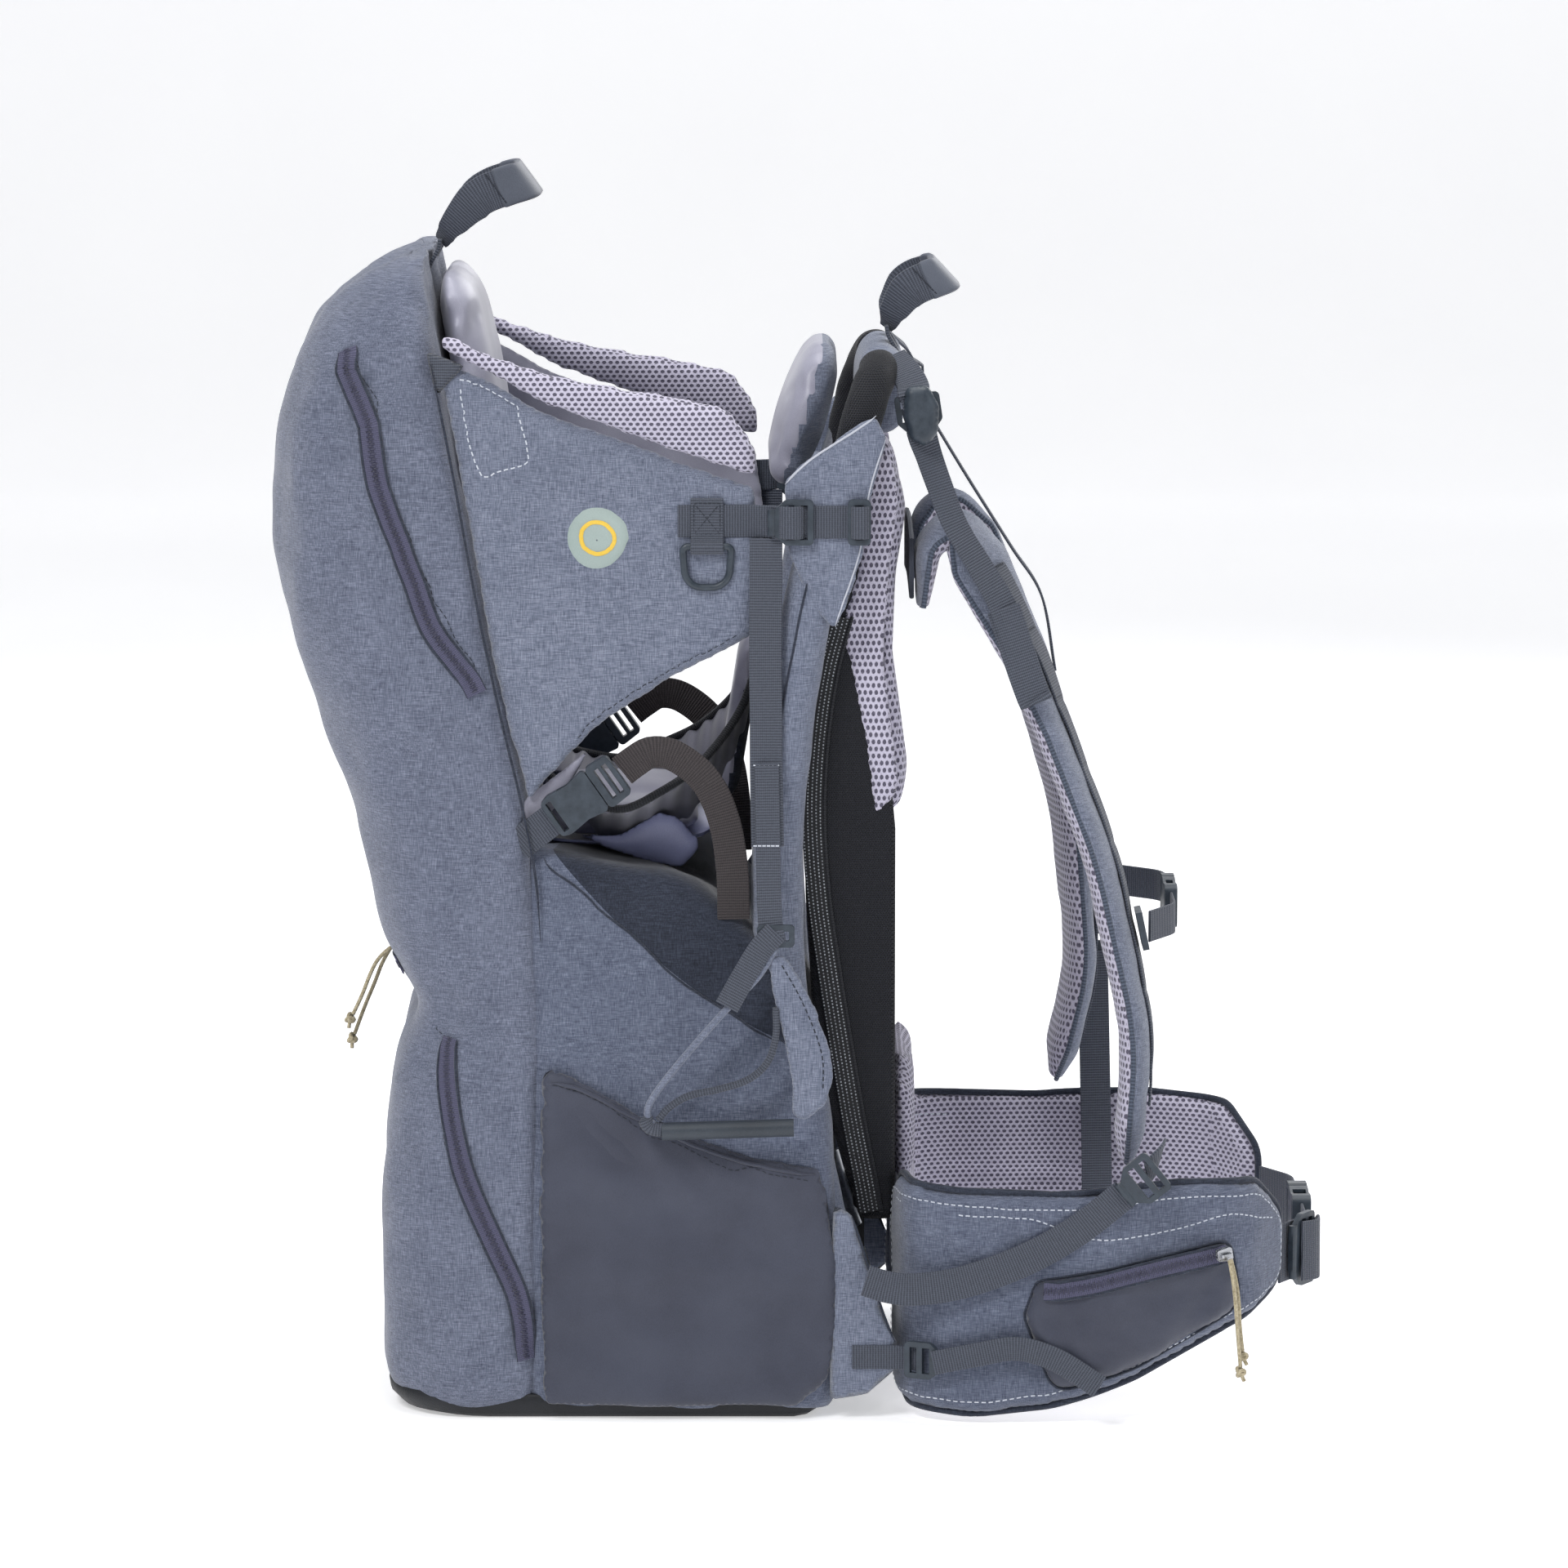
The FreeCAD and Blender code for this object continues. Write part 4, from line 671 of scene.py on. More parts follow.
def crease(obj, start, end, width, depth):
    """Presses a fold into a piece along a line: a valley with a soft ridge on each side."""
    start, end = Vector(start), Vector(end)
    run = end - start
    mesh = obj.data
    normals = [v.normal.copy() for v in mesh.vertices]
    for vertex, normal in zip(mesh.vertices, normals):
        p = vertex.co / MM
        t = max(0.0, min(1.0, (p - start).dot(run) / run.length_squared))
        off = (p - start - run * t).length / width
        if off < 3.5:
            fade = math.sin(math.pi * (0.08 + 0.84 * t)) ** 0.6
            vertex.co -= normal * (
                depth * fade * (math.exp(-off * off) - RIDGE * math.exp(-(off - RIDGE_AT) ** 2)) * MM)
    mesh.update()


def folds(obj, y, table, strength=1.0):
    """Presses (start, end, width, depth) folds into a side. Their ends are (x, z)."""
    for start, end, width, depth in table:
        crease(obj, (start[0], y, start[1]), (end[0], y, end[1]), width, strength * depth)


def tree_of(*objs):
    """A search tree over pieces as they now are."""
    points, faces = [], []
    for obj in objs:
        base = len(points)
        points += [v.co.copy() for v in obj.data.vertices]
        faces += [[base + i for i in p.vertices] for p in obj.data.polygons]
    return BVHTree.FromPolygons(points, faces)


def draped(points, tree, lift=0.0):
    """The nearest places on a surface to points, lifted off it, and the surface's normals there."""
    places, normals = [], []
    for point in points:
        spot, normal, _, _ = tree.find_nearest(Vector(point) * MM)
        normals.append(np.asarray(normal))
        places.append(np.asarray(spot) / MM + np.asarray(normal) * lift)
    return np.asarray(places), np.asarray(normals)


def calm(path, reach=4):
    """A path with its small bumps averaged out. Its ends stay."""
    path = np.asarray(path, float)
    smooth = path.copy()
    for i in range(1, len(path) - 1):
        near = min(reach, i, len(path) - 1 - i)
        smooth[i] = path[i - near:i + near + 1].mean(axis=0)
    return smooth


def stitches(name, path, normals, finish=None, body="carrier", length=2.7, gap=1.7, size=0.42):
    """A row of sewn stitches lying along a path on a surface."""
    path, normals = np.asarray(path, float), np.asarray(normals, float)
    run = np.concatenate([[0], np.cumsum(np.linalg.norm(np.diff(path, axis=0), axis=1))])
    points, faces = [], []
    at = gap
    while at + length < run[-1]:
        ends = [np.array([np.interp(s, run, path[:, k]) for k in range(3)]) for s in (at, at + length / 2,
                at + length)]
        normal = np.array([np.interp(at, run, normals[:, k]) for k in range(3)])
        side = np.cross(normal, ends[2] - ends[0])
        side = side / (np.linalg.norm(side) + 1e-9) * size
        base = len(points)
        for end, rise in zip(ends, (0.0, 1.0, 0.0)):
            points += [end - side, end + normal * (0.25 + 0.45 * rise) * size * 1.6, end + side]
        for k in (0, 3):
            faces += [(base + k, base + k + 1, base + k + 4, base + k + 3),
                      (base + k + 1, base + k + 2, base + k + 5, base + k + 4)]
        at += length + gap
    return piece(name, points, faces, finish or THREAD, body, closed=False)


def sewn(name, points, tree, finish=None, body="carrier", lift=0.15, **sizes):
    """Stitches along a smooth line through points, laid on a surface."""
    path, normals = draped(flowing(points, 2.0), tree, lift)
    return stitches(name, path, normals, finish, body, **sizes)


def piping(name, points, tree, radius=0.7, finish=None, body="carrier", lift=0.0):
    """A thin raised seam laid on a surface."""
    path, _ = draped(flowing(points, 3.0), tree, lift)
    return tube(name, calm(path), radius, finish or DENIM_DARK, body, sides=6, taper=True)


def tape_on(name, path, normals, width, finish, body="carrier", thick=1.0, lift=0.3):
    """A tape that follows a surface."""
    path, normals = np.asarray(path, float), np.asarray(normals, float)
    along = np.gradient(path, axis=0)
    across = np.cross(normals, along)
    return strap(name, path + normals * lift, across, tape_section(width, thick), finish, body, sharp=50)


def zipper(name, path, normals, body="carrier", width=13.0):
    """A closed coil zip: tape, a dark lip along each edge and two rows of teeth."""
    path, normals = calm(path, 9), calm(normals, 9)
    normals = units(normals)
    tape = tape_on(name + "_tape", path, normals, width, ZIP_TAPE, body, thick=0.9, lift=0.5)
    edge = units(np.cross(normals, np.gradient(path, axis=0)))
    for label, sign in (("a", -1), ("b", 1)):
        lip = path + edge * sign * width / 2 + normals * 0.6
        tube(name + "_lip_" + label, lip, 0.95, DENIM_DARK, body, sides=8, taper=True)
    run = np.concatenate([[0], np.cumsum(np.linalg.norm(np.diff(path, axis=0), axis=1))])
    points, faces = [], []
    pitch, reach, half = 1.5, 2.0, 0.5
    for number in range(int(run[-1] / pitch)):
        at = number * pitch
        centre = np.array([np.interp(at, run, path[:, k]) for k in range(3)])
        ahead = np.array([np.interp(at + 0.6, run, path[:, k]) for k in range(3)]) - np.array([np.interp(at - 0.6,
                run, path[:, k]) for k in range(3)])
        ahead /= np.linalg.norm(ahead) + 1e-9
        normal = np.array([np.interp(at, run, normals[:, k]) for k in range(3)])
        side = np.cross(normal, ahead)
        shift = side * (0.5 if number % 2 else -0.5)
        base = len(points)
        for a, b, n in ((-half, -reach, 0.5), (half, -reach, 0.5), (half, reach, 0.5), (-half, reach, 0.5)):
            points.append(centre + shift + ahead * a + side * b + normal * n)
        for a, b, n in ((-half * 0.6, -reach * 0.8, 1.5), (half * 0.6, -reach * 0.8, 1.5),
                        (half * 0.6, reach * 0.8, 1.5), (-half * 0.6, reach * 0.8, 1.5)):
            points.append(centre + shift + ahead * a + side * b + normal * n)
        faces += [(base + 4, base + 5, base + 6, base + 7)]
        faces += [(base + k, base + (k + 1) % 4, base + 4 + (k + 1) % 4, base + 4 + k) for k in range(4)]
    piece(name + "_teeth", points, faces, ZIP_COIL, body, closed=False)
    return tape


# --- The child's pack

def pack_ring(front, rear, half, corner, count=96, belly=0.0):
    """One level of a bag: from its front edge to its rear one, with rounded rear corners and slightly full sides."""
    depth = math.hypot(rear[0] - front[0], rear[1] - front[1])
    nose = min(8.0, depth * 0.3, half * 0.3)
    tail = min(corner, depth * 0.85, half * 0.85)
    loop = [(0, -half + nose), (nose, -half), (depth - tail, -half - belly)]
    loop += [(depth - tail + tail * math.sin(a), -half + tail - tail * math.cos(a))
             for a in np.linspace(0.15, math.pi / 2, 9)]
    loop += [(u, -v) for u, v in reversed(loop)]
    loop = [(0.0, 0.0)] + loop + [(0.0, 0.0)]
    flat = resample(loop, count + 1)[:-1]
    step_x, step_z = (rear[0] - front[0]) / max(depth, 1e-6), (rear[1] - front[1]) / max(depth, 1e-6)
    return [(front[0] + u * step_x, v, front[1] + u * step_z) for u, v in flat]


BODY_ROWS = [  # rear (x, z), front (x, z), half width, rear corner radius
    (-124, 4, -44, 5, 141, 40), (-136, 14, -44, 14, 147, 46), (-142, 34, -44, 34, 150, 50),
    (-144, 100, -43, 100, 151, 50), (-142, 145, -42, 145, 151, 50), (-138, 190, -41, 192, 149, 50),
    (-131, 230, -41, 234, 146, 48), (-122, 249, -42, 256, 143, 46), (-121, 258, -42, 268, 142, 46),
    (-130, 276, -44, 286, 141, 50), (-143, 305, -46, 314, 139, 56), (-156, 346, -49, 352, 137, 60),
    (-165, 387, -51, 388, 136, 60), (-179, 433, -60, 430, 136, 62), (-193, 474, -70, 474, 136, 62),
    (-203, 510, -77, 510, 136, 62), (-209, 545, -84, 545, 136, 62), (-208, 584, -91, 582, 136, 62),
    (-203, 628, -98, 625, 134, 62), (-193, 658, -103, 655, 131, 58), (-180, 680, -106, 678, 126, 50),
    (-164, 695, -109, 694, 119, 40), (-148, 706, -111, 706, 110, 26), (-134, 714, -112, 714, 100, 14),
    (-122, 719, -112, 719, 92, 6),
]


REAR_FOLDS = [  # start and end (x, z) on the side, width and depth
    ((-118, 700), (-150, 640), 9, 2.2), ((-128, 690), (-190, 650), 10, 2.0), ((-110, 690), (-112, 610), 7, 1.4),
    ((-150, 560), (-195, 500), 13, 2.0), ((-90, 420), (-160, 400), 12, 1.6), ((-60, 300), (-120, 262), 9, 2.0),
    ((-50, 240), (-112, 262), 9, 1.6), ((-60, 60), (-120, 30), 12, 1.6), ((-100, 250), (-136, 200), 9, 1.4),
    ((-122, 712), (-134, 640), 5, 2.4), ((-116, 708), (-122, 630), 4, 1.8), ((-134, 700), (-165, 668), 5, 2.0),
    ((-140, 640), (-200, 600), 12, 2.6), ((-150, 600), (-206, 560), 12, 2.2), ((-150, 470), (-180, 440), 12, 1.8),
    ((-52, 320), (-130, 285), 7, 1.8), ((-60, 215), (-96, 240), 7, 1.6), ((-72, 60), (-130, 70), 12, 1.4),
]
SLIDER_RUN = ((-81, 448), (-112, 532), 134.9)  # ends (x, z) of the upper slider's travel, and the skin's y under it


def rear_body():
    """The bag behind the child: storage below, a panel that bulges over the upper pocket, gathered at the top."""
    rows = flowing(BODY_ROWS, 7.0)
    rings = [pack_ring((r[2], r[3]), (r[0], r[1]), r[4], r[5], belly=1.5) for r in rows]
    # The rear bag's darker denim is painted shade.
    obj = loft("rear_body", rings, DENIM_REAR_PAINTED_SHADE)
    wrinkle(obj, 4.2, (60, 60, 90), seed=3.1, where=lambda p: 1.0 if p.x < -60 else 0.3)
    wrinkle(obj, 1.5, (20, 20, 70), seed=8.4, where=lambda p: 0.5 + 1.6 * max(0.0, (p.z - 560) / 160))
    for side in SIDES.values():
        folds(obj, side * 136, REAR_FOLDS, 1.4)
    crease(obj, (-125, -90, 255), (-125, 90, 255), 7, 2.0)
    flatten(obj, *SLIDER_RUN)
    soften(obj)
    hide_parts("rear_pack")
    return obj


def flatten(obj, start, end, height):
    """Brings the left side's skin to one height under a slider's travel, with an even fade round it."""
    start, end = np.asarray(start, float), np.asarray(end, float)
    run = end - start
    for vertex in obj.data.vertices:
        p = vertex.co / MM
        spot = np.array([p.x, p.z])
        t = max(0.0, min(1.0, (spot - start) @ run / (run @ run)))
        fade = max(0.0, min(1.0, (36 - np.linalg.norm(spot - start - t * run)) / 18))
        if p.y > 110:
            vertex.co.y += (height - p.y) * fade * fade * (3 - 2 * fade) * MM
    obj.data.update()


FRONT_FOLDS = [((72, 262), (96, 196), 6, 2.6), ((88, 262), (116, 200), 5, 2.2), ((58, 280), (22, 300), 9, 2.4),
               ((96, 230), (128, 215), 6, 1.6), ((64, 240), (60, 205), 6, 1.4), ((40, 300), (84, 268), 9, 2.2),
               ((-20, 330), (40, 262), 12, 1.6), ((112, 250), (126, 190), 5, 1.8), ((-34, 250), (20, 236), 12, 1.2)]


def bag_front():
    """The lower bag's front half, drawn in towards the frame near its top, under a darker yoke below the seat.
    Painted shade darkens the denim, and deepens the yoke's own darker colour under the seat.
    """
    rows = flowing([
        (4, 4, 134, 143), (14, 14, 139, 148), (40, 40, 141, 150), (110, 110, 141, 151), (150, 150, 140, 151),
        (185, 185, 137, 149), (215, 218, 130, 146), (246, 250, 120, 143), (274, 276, 112, 140),
        (304, 292, 100, 137), (328, 306, 86, 134), (346, 322, 70, 131), (356, 334, 56, 126),
        (358, 340, 44, 110),
    ], 5.0)
    rings = [pack_ring((-52, rear), (nose, front), half, 12, belly=1.5) for rear, front, nose, half in rows]
    # The bag front's denim is painted shade. The yoke's own darker colour also carries painted shade from the seat.
    obj = loft("bag_front", rings, DENIM_YOKE_AND_PAINTED_SHADE)
    wrinkle(obj, 2.6, (46, 60, 80), seed=1.3)
    for side in SIDES.values():
        folds(obj, side * 147, FRONT_FOLDS)
    for vertex in obj.data.vertices:
        p = vertex.co / MM
        dish = max(0.0, min(1.0, (p.z - 300) / 50)) * max(0.0, 1 - (p.y / 118) ** 2)
        vertex.co.z -= 16 * dish * MM
    for name, side in SIDES.items():
        piping("yoke_seam_" + name, [(x, side * 160, yoke_line(x)) for x in range(-44, 118, 9)], tree_of(obj), 0.8,
               DENIM_DARK)
    soften(obj)
    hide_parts("lower_bag")


def base_tray():
    """The coated base: a shallow black tray whose lip turns up round the bag."""
    rings = []
    for z, grow, rear in ((0.0, -9, -112), (0.6, -4, -122), (3.0, 0, -132), (8.0, 2.5, -139), (12.0, 2.0, -140),
                          (12.4, 0.5, -138)):
        rings.append(pack_ring((128 + grow, z), (rear, z + max(0.0, z - 3) * 0.5), 145 + grow * 0.6, 46))
    obj = loft("base_tray", rings, BASE_CLOTH)
    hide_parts("base_panel")


WALL = [(-112, 662, 4), (-72, 646, 10), (-40, 627, 20), (90, 581, 3), (96, 536, 12), (91, 490, 8), (40, 462, 80),
        (0, 437, 60), (-25, 412, 20), (-50, 383, 3), (-62, 430, 60), (-76, 500, 60), (-90, 580, 60),
        (-100, 640, 20)]
RIM = [(-104, 678, 5), (-70, 661, 14), (-30, 650, 60), (40, 638, 40), (74, 630, 14), (90, 609, 8), (94, 584, 5),
       (40, 600, 60), (-38, 629, 30), (-70, 648, 20), (-103, 664, 4)]

WALL_FOLDS = [((86, 570), (10, 520), 14, 1.6), ((88, 552), (20, 480), 13, 1.3), ((-92, 640), (-60, 560), 10, 1.0),
              ((50, 600), (0, 560), 10, 0.9)]


def cockpit(side, name):
    """A padded cockpit wall and the mesh rim on top of it."""
    bow = lambda a, b: 2.0 * math.sin(max(0.0, min(1.0, (b - 400) / 230)) * math.pi)
    place = lambda a, b, n: (a, side * (WALL_Y + n + bow(a, b)), b)
    wall = pad("cockpit_wall_" + name, WALL, place, dome(4.4, 6.0), dome(3.6, 6.0), [DENIM, LINING], step=5.0,
               ease=8.0)
    wrinkle(wall, 1.6, (70, 40, 50), seed=5.0 + side)
    folds(wall, side * 138, WALL_FOLDS)
    soften(wall)
    lean = beside(side, WALL_Y)
    rim = pad("cockpit_rim_" + name, RIM, lean, dome(7.0, 10.0), dome(7.0, 10.0), LILAC, step=4.0)
    inflate(rim, 4.5, 3.5)
    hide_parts("cockpit_walls")
    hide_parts("cockpit_rims")
    return wall


def cockpit_details(side, name, wall):
    """What is sewn to a wall: corner patch, tab, hem, the seam behind it and the badge."""
    tree = tree_of(wall)
    y = side * 150
    patch = [(-91, 646), (-79, 647), (-56, 640), (-53, 622), (-48, 604), (-50, 595), (-68, 590), (-75, 588),
             (-84, 613), (-90, 640)]
    sewn("patch_stitch_" + name, level(y, patch), tree)
    tri = [(-110, 664, 2), (-86, 655, 2), (-104, 636, 2)]
    pad("rear_tab_" + name, tri, beside(side, 136.3), dome(0.9, 1.0), dome(0.9, 1.0), WEBBING, step=3.0)
    sewn("wall_hem_" + name, level(y, ((-20, 424), (2, 444), (44, 468), (84, 490))), tree, THREAD_DARK, lift=0.1,
         size=0.3)
    run = flowing([(-107, 656), (-94, 588), (-80, 508), (-66, 440), (-54, 388), (-45, 340), (-42, 300)], 4.0)
    tube("side_seam_" + name, [(x, side * (137.4 if z > 380 else 137.4 + 0.02 * (380 - z)), z) for x, z in run],
         0.9, DENIM_DARK, sides=8, taper=True)
    centre = np.array([-6.0, y, 550.0])
    rings = []
    for radius, lift in ((0.5, 0.35), (8, 0.35), (14, 0.35), (18.6, 0.3), (19.0, -0.2)):
        loop = [(centre[0] + radius * math.cos(a), y, centre[2] + radius * math.sin(a))
                for a in np.linspace(0, 2 * math.pi, 41)[:-1]]
        rings.append(draped(loop, tree, lift)[0])
    loft("badge_disc_" + name, rings, BADGE_DISC, cap=False)
    radius = 10.5
    loop = [(centre[0] + radius * math.cos(a), y, centre[2] + radius * math.sin(a))
            for a in np.linspace(0, 2 * math.pi, 60)]
    path, normals = draped(loop, tree, 0.5)
    tape_on("badge_ring_" + name, path, normals, 2.6, BADGE_RING, thick=0.5, lift=0.1)


# --- Floor, light and camera

def studio():
    """A pale floor that curves up behind, soft lights and a dim sky."""
    floor = Finish("studio_floor", roughness=0.75)
    tone = floor.noise(2.0, detail=4.0)
    floor.colour(tone, [(0.2, "f2f2f4"), (0.8, "f8f8f9")])
    floor.shader.inputs["Emission Color"].default_value = (1.0, 1.0, 1.0, 1.0)
    floor.shader.inputs["Emission Strength"].default_value = 0.42
    mesh = bpy.data.meshes.new("floor")
    depth, rise, bend = 5.2, 4.0, 1.2
    profile = [(-6.0, 0.0), (depth, 0.0)]
    profile += [(depth + bend * math.sin(a), bend - bend * math.cos(a)) for a in np.linspace(0.1, math.pi / 2, 12)]
    profile.append((depth + bend, rise))
    points = [(x, y, z) for y, z in profile for x in (-6.0, 6.0)]
    faces = [(2 * i, 2 * i + 1, 2 * i + 3, 2 * i + 2) for i in range(len(profile) - 1)]
    mesh.from_pydata(points, [], faces)
    for face in mesh.polygons:
        face.use_smooth = True
    mesh.materials.append(floor.material)
    backdrop = bpy.data.objects.new("studio_backdrop", mesh)
    bpy.context.collection.objects.link(backdrop)
    world = bpy.data.worlds.new("studio")
    bpy.context.scene.world = world
    world.use_nodes = True
    world.node_tree.nodes["Background"].inputs[0].default_value = (0.93, 0.95, 1.0, 1.0)
    world.node_tree.nodes["Background"].inputs[1].default_value = 0.30
    bpy.context.scene.view_settings.view_transform = "Standard"
    target = Vector((0.1, 0.0, 0.36))
    for name, place, size, power in (
        ("key", (-1.3, -2.3, 3.0), 1.2, 74.0), ("fill", (2.6, -1.8, 1.2), 1.6, 15.0),
        ("top", (0.2, 0.2, 3.0), 2.0, 44.0), ("back", (1.4, 2.4, 1.8), 1.6, 24.0),
    ):
        light = bpy.data.lights.new(name, "AREA")
        light.shape = "DISK"
        light.size = size
        light.energy = power
        lamp = bpy.data.objects.new(name, light)
        lamp.location = place
        lamp.rotation_euler = (target - Vector(place)).to_track_quat("-Z", "Y").to_euler()
        bpy.context.collection.objects.link(lamp)


CAMERA_AT, CAMERA_AIM, CAMERA_LENS = (0.108, -4.147, 1.002), (0.108, 0.0, 0.377), 151.6


def photo_camera():
    """The camera, where the photograph was taken from."""
    lens = bpy.data.cameras.new("camera")
    lens.lens = CAMERA_LENS
    lens.sensor_width = 36.0
    camera = bpy.data.objects.new("camera", lens)
    camera.location = CAMERA_AT
    camera.rotation_euler = (Vector(CAMERA_AIM) - camera.location).to_track_quat("-Z", "Y").to_euler()
    bpy.context.collection.objects.link(camera)
    bpy.context.scene.camera = camera


# --- Frame covers and back system

FRAME_Y = 125.0
FRAME_BOW = 809.5  # radius of the side tubes' bow
BOW_X, BOW_Z = 104, 331  # the bow's rearmost point
SLEEVE = 16.4  # radius of the cloth sleeves


def frame_x(z):
    """Where the bowed side tubes are at a height."""
    return BOW_X + FRAME_BOW - math.sqrt(FRAME_BOW ** 2 - (z - BOW_Z) ** 2)


def frame_cover(side, name):
    """The sleeve round a side tube, its top wrap with a pale edge, and the stay panel at its foot."""
    path = [(frame_x(z), side * FRAME_Y, z) for z in np.arange(112, 580, 7.0)]
    sleeve = tube("frame_sleeve_" + name, path, SLEEVE, DENIM, sides=20)
    wrinkle(sleeve, 1.3, (26, 26, 40), seed=6.0 + side)
    soften(sleeve)
    seam = [(frame_x(z) - 6, side * 150, z) for z in range(130, 570, 20)]
    piping("sleeve_seam_" + name, seam, tree_of(sleeve), 0.8)
    wrap = [(107, 584, 8), (121, 598, 8), (164, 626, 3), (172, 610, 6), (162, 575, 14), (157, 540, 14),
            (140, 491, 4), (123, 508, 20), (110, 540, 20)]
    bulge = lambda a, b: 1.6 * math.exp(-((a - frame_x(b)) / 16) ** 2)
    cover = pad("frame_wrap_" + name, wrap, beside(side, 139.2), dome(1.8, 5), dome(6, 10), DENIM, relief=bulge)
    wrinkle(cover, 0.7, (26, 20, 30), seed=2.0 + side)
    soften(cover)
    tree = tree_of(cover)
    edge = level(side * 145, [(106, 583), (119, 597), (140, 611), (165, 627)])
    piping("wrap_edge_" + name, edge, tree, 0.7, PIPING_PALE)
    side_edge = level(side * 145, [(172, 610), (161, 575), (156, 540), (140, 492)])
    piping("wrap_seam_" + name, side_edge, tree, 0.6, PIPING_PALE)
    stay = [(138, 138, 4), (150, 131, 6), (170, 66, 8), (178, 50, 3), (177, 33, 3), (160, 17, 6), (136, 13, 3)]
    panel = pad("stay_panel_" + name, stay, beside(side, 151.4), dome(1.1, 2), dome(1.0, 2), DENIM)
    wrinkle(panel, 0.6, (20, 20, 30), seed=4.0)
    piping("stay_edge_" + name, level(side * 152, [(151, 130), (169, 70), (177, 50)]), tree_of(panel), 0.9)
    top = outward(side, [(147, 125, 572), (150, 124.6, 597), (155.5, 121, 620), (161.5, 108, 638), (166, 88, 646.6),
                         (166.6, 70, 647.2)], 4.0)
    hood = tube("hoop_cover_" + name, top, 12.6, BLACK_MESH, sides=18)
    wrinkle(hood, 0.7, (14, 14, 14), seed=3.0)
    soften(hood)
    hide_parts("frame_sleeves")


def back_system():
    """Back panel, lumbar pad, top collar and the middle of the belt."""
    face = lambda x: lambda a, b, n: (x + n, a, b)
    board = [(-106, 118, 8), (106, 118, 8), (107, 366, 40), (106, 596, 12), (-106, 596, 12), (-107, 366, 40)]
    step_in = lambda a, b: 10.0 / (1 + math.exp((b - 368) / 4))
    panel = pad("back_panel_mesh", board, face(163), dome(4, 4), dome(12, 5), BLACK_MESH, step=6.0, relief=step_in)
    soften(panel)
    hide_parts("back_panel")
    lumbar = [(-90, 136, 14), (90, 136, 14), (91, 198, 14), (58, 218, 20), (-58, 218, 20), (-91, 198, 14)]
    pads = pad("lumbar_pad_mesh", lumbar, face(178.8), dome(7.5, 12), dome(0.8, 2), LILAC, step=5.0)
    inflate(pads, 5.0, 4.0)
    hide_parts("lumbar_pad")
    collar = [(-82, 606, 8), (82, 606, 8), (85, 650, 16), (58, 662, 14), (-58, 662, 14), (-85, 650, 16)]
    top = pad("top_collar_pad", collar, face(168), dome(15, 15), dome(14, 14), DENIM, step=5.0)
    inflate(top, 5.0, 3.0)
    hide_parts("top_collar")
    core = [(-106, 38, 8), (106, 38, 8), (106, 129, 8), (-106, 129, 8)]
    middle = pad("belt_core_pad", core, face(184.5), dome(6.5, 8), dome(5.5, 6), [LILAC, DENIM], step=5.0)
    inflate(middle, 5.0, 2.0)
    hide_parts("belt_core")


PAD_FRONT = [(366, 4), (380, 10), (394, 12), (423, 8), (473, 1), (522, 3), (560, 9), (580, 9),
             (600, 4)]  # z, fullness


def back_side(side, name):
    """One side of the back system: the tall mesh pad, the strip that wraps its side, and the black side net."""
    fullness = lambda a, b: float(np.interp(b, [p[0] for p in PAD_FRONT], [p[1] for p in PAD_FRONT]))
    outline = [(42, 374, 14), (107, 368, 12), (108, 480, 60), (106, 597, 14), (46, 597, 16)]
    cushion = pad("back_pad_" + name, outline, lambda a, b, n: (167.5 + n, side * a, b), dome(3.5, 10), dome(2, 4),
                  LILAC_TALL, relief=fullness)
    inflate(cushion, 5.0, 3.0)
    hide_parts("back_pads")
    strip = [(157, 598, 6), (175, 600, 8), (179, 570, 20), (173, 522, 30), (170, 473, 30), (176, 423, 30),
             (180, 394, 12), (164, 364, 6), (157, 420, 30), (147, 470, 30), (141, 491, 6), (152, 525, 20),
             (157, 560, 20)]
    wrap = pad("side_mesh_" + name, strip, beside(side, NET_Y), dome(3.0, 7), dome(2, 4), LILAC_TALL)
    soften(wrap)
    net = [(156, 119, 4), (177, 119, 6), (177, 366, 10), (166, 480, 20), (152, 556, 8), (146, 556, 8),
           (125, 480, 200), (121, 330, 200), (128, 210, 200)]
    gusset = pad("side_net_" + name, net, beside(side, NET_Y), dome(1.2, 3), dome(1.0, 3), BLACK_MESH)
    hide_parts("mesh_gussets")
    route = [(138, 498), (129, 463), (123, 420), (121, 374), (124, 325), (130, 281), (138, 230), (146, 182),
             (153, 146), (157, 124)]
    path = flowing([(x + 4.5, side * 112.2, z) for x, z in route], 3.0)
    strap("perforated_strip_" + name, path, (1, 0, 0), tape_section(13.0, 1.2), PERFORATED, sharp=50)
    inner = path.copy()
    inner[:, 0] += 7.4
    tube("strip_edge_" + name, inner, 1.3, BLACK_WEB, sides=6)


# --- Harness

STRAPS = {  # (x, z) down each shoulder strap's middle, bend radii, Y at its top and at its end
    "right": ([(194, 500), (197, 538), (216, 554), (258, 470), (305, 345), (328, 235), (321, 158)],
              [16, 14, 120, 300, 200], (-78, -121)),
    "left": ([(194, 500), (197, 538), (214, 553), (256, 470), (292, 350), (302, 245), (285, 170)],
             [16, 14, 120, 300, 150], (80, 98)),
}
STRAP_WIDE, STRAP_THICK = 62.0, 19.0


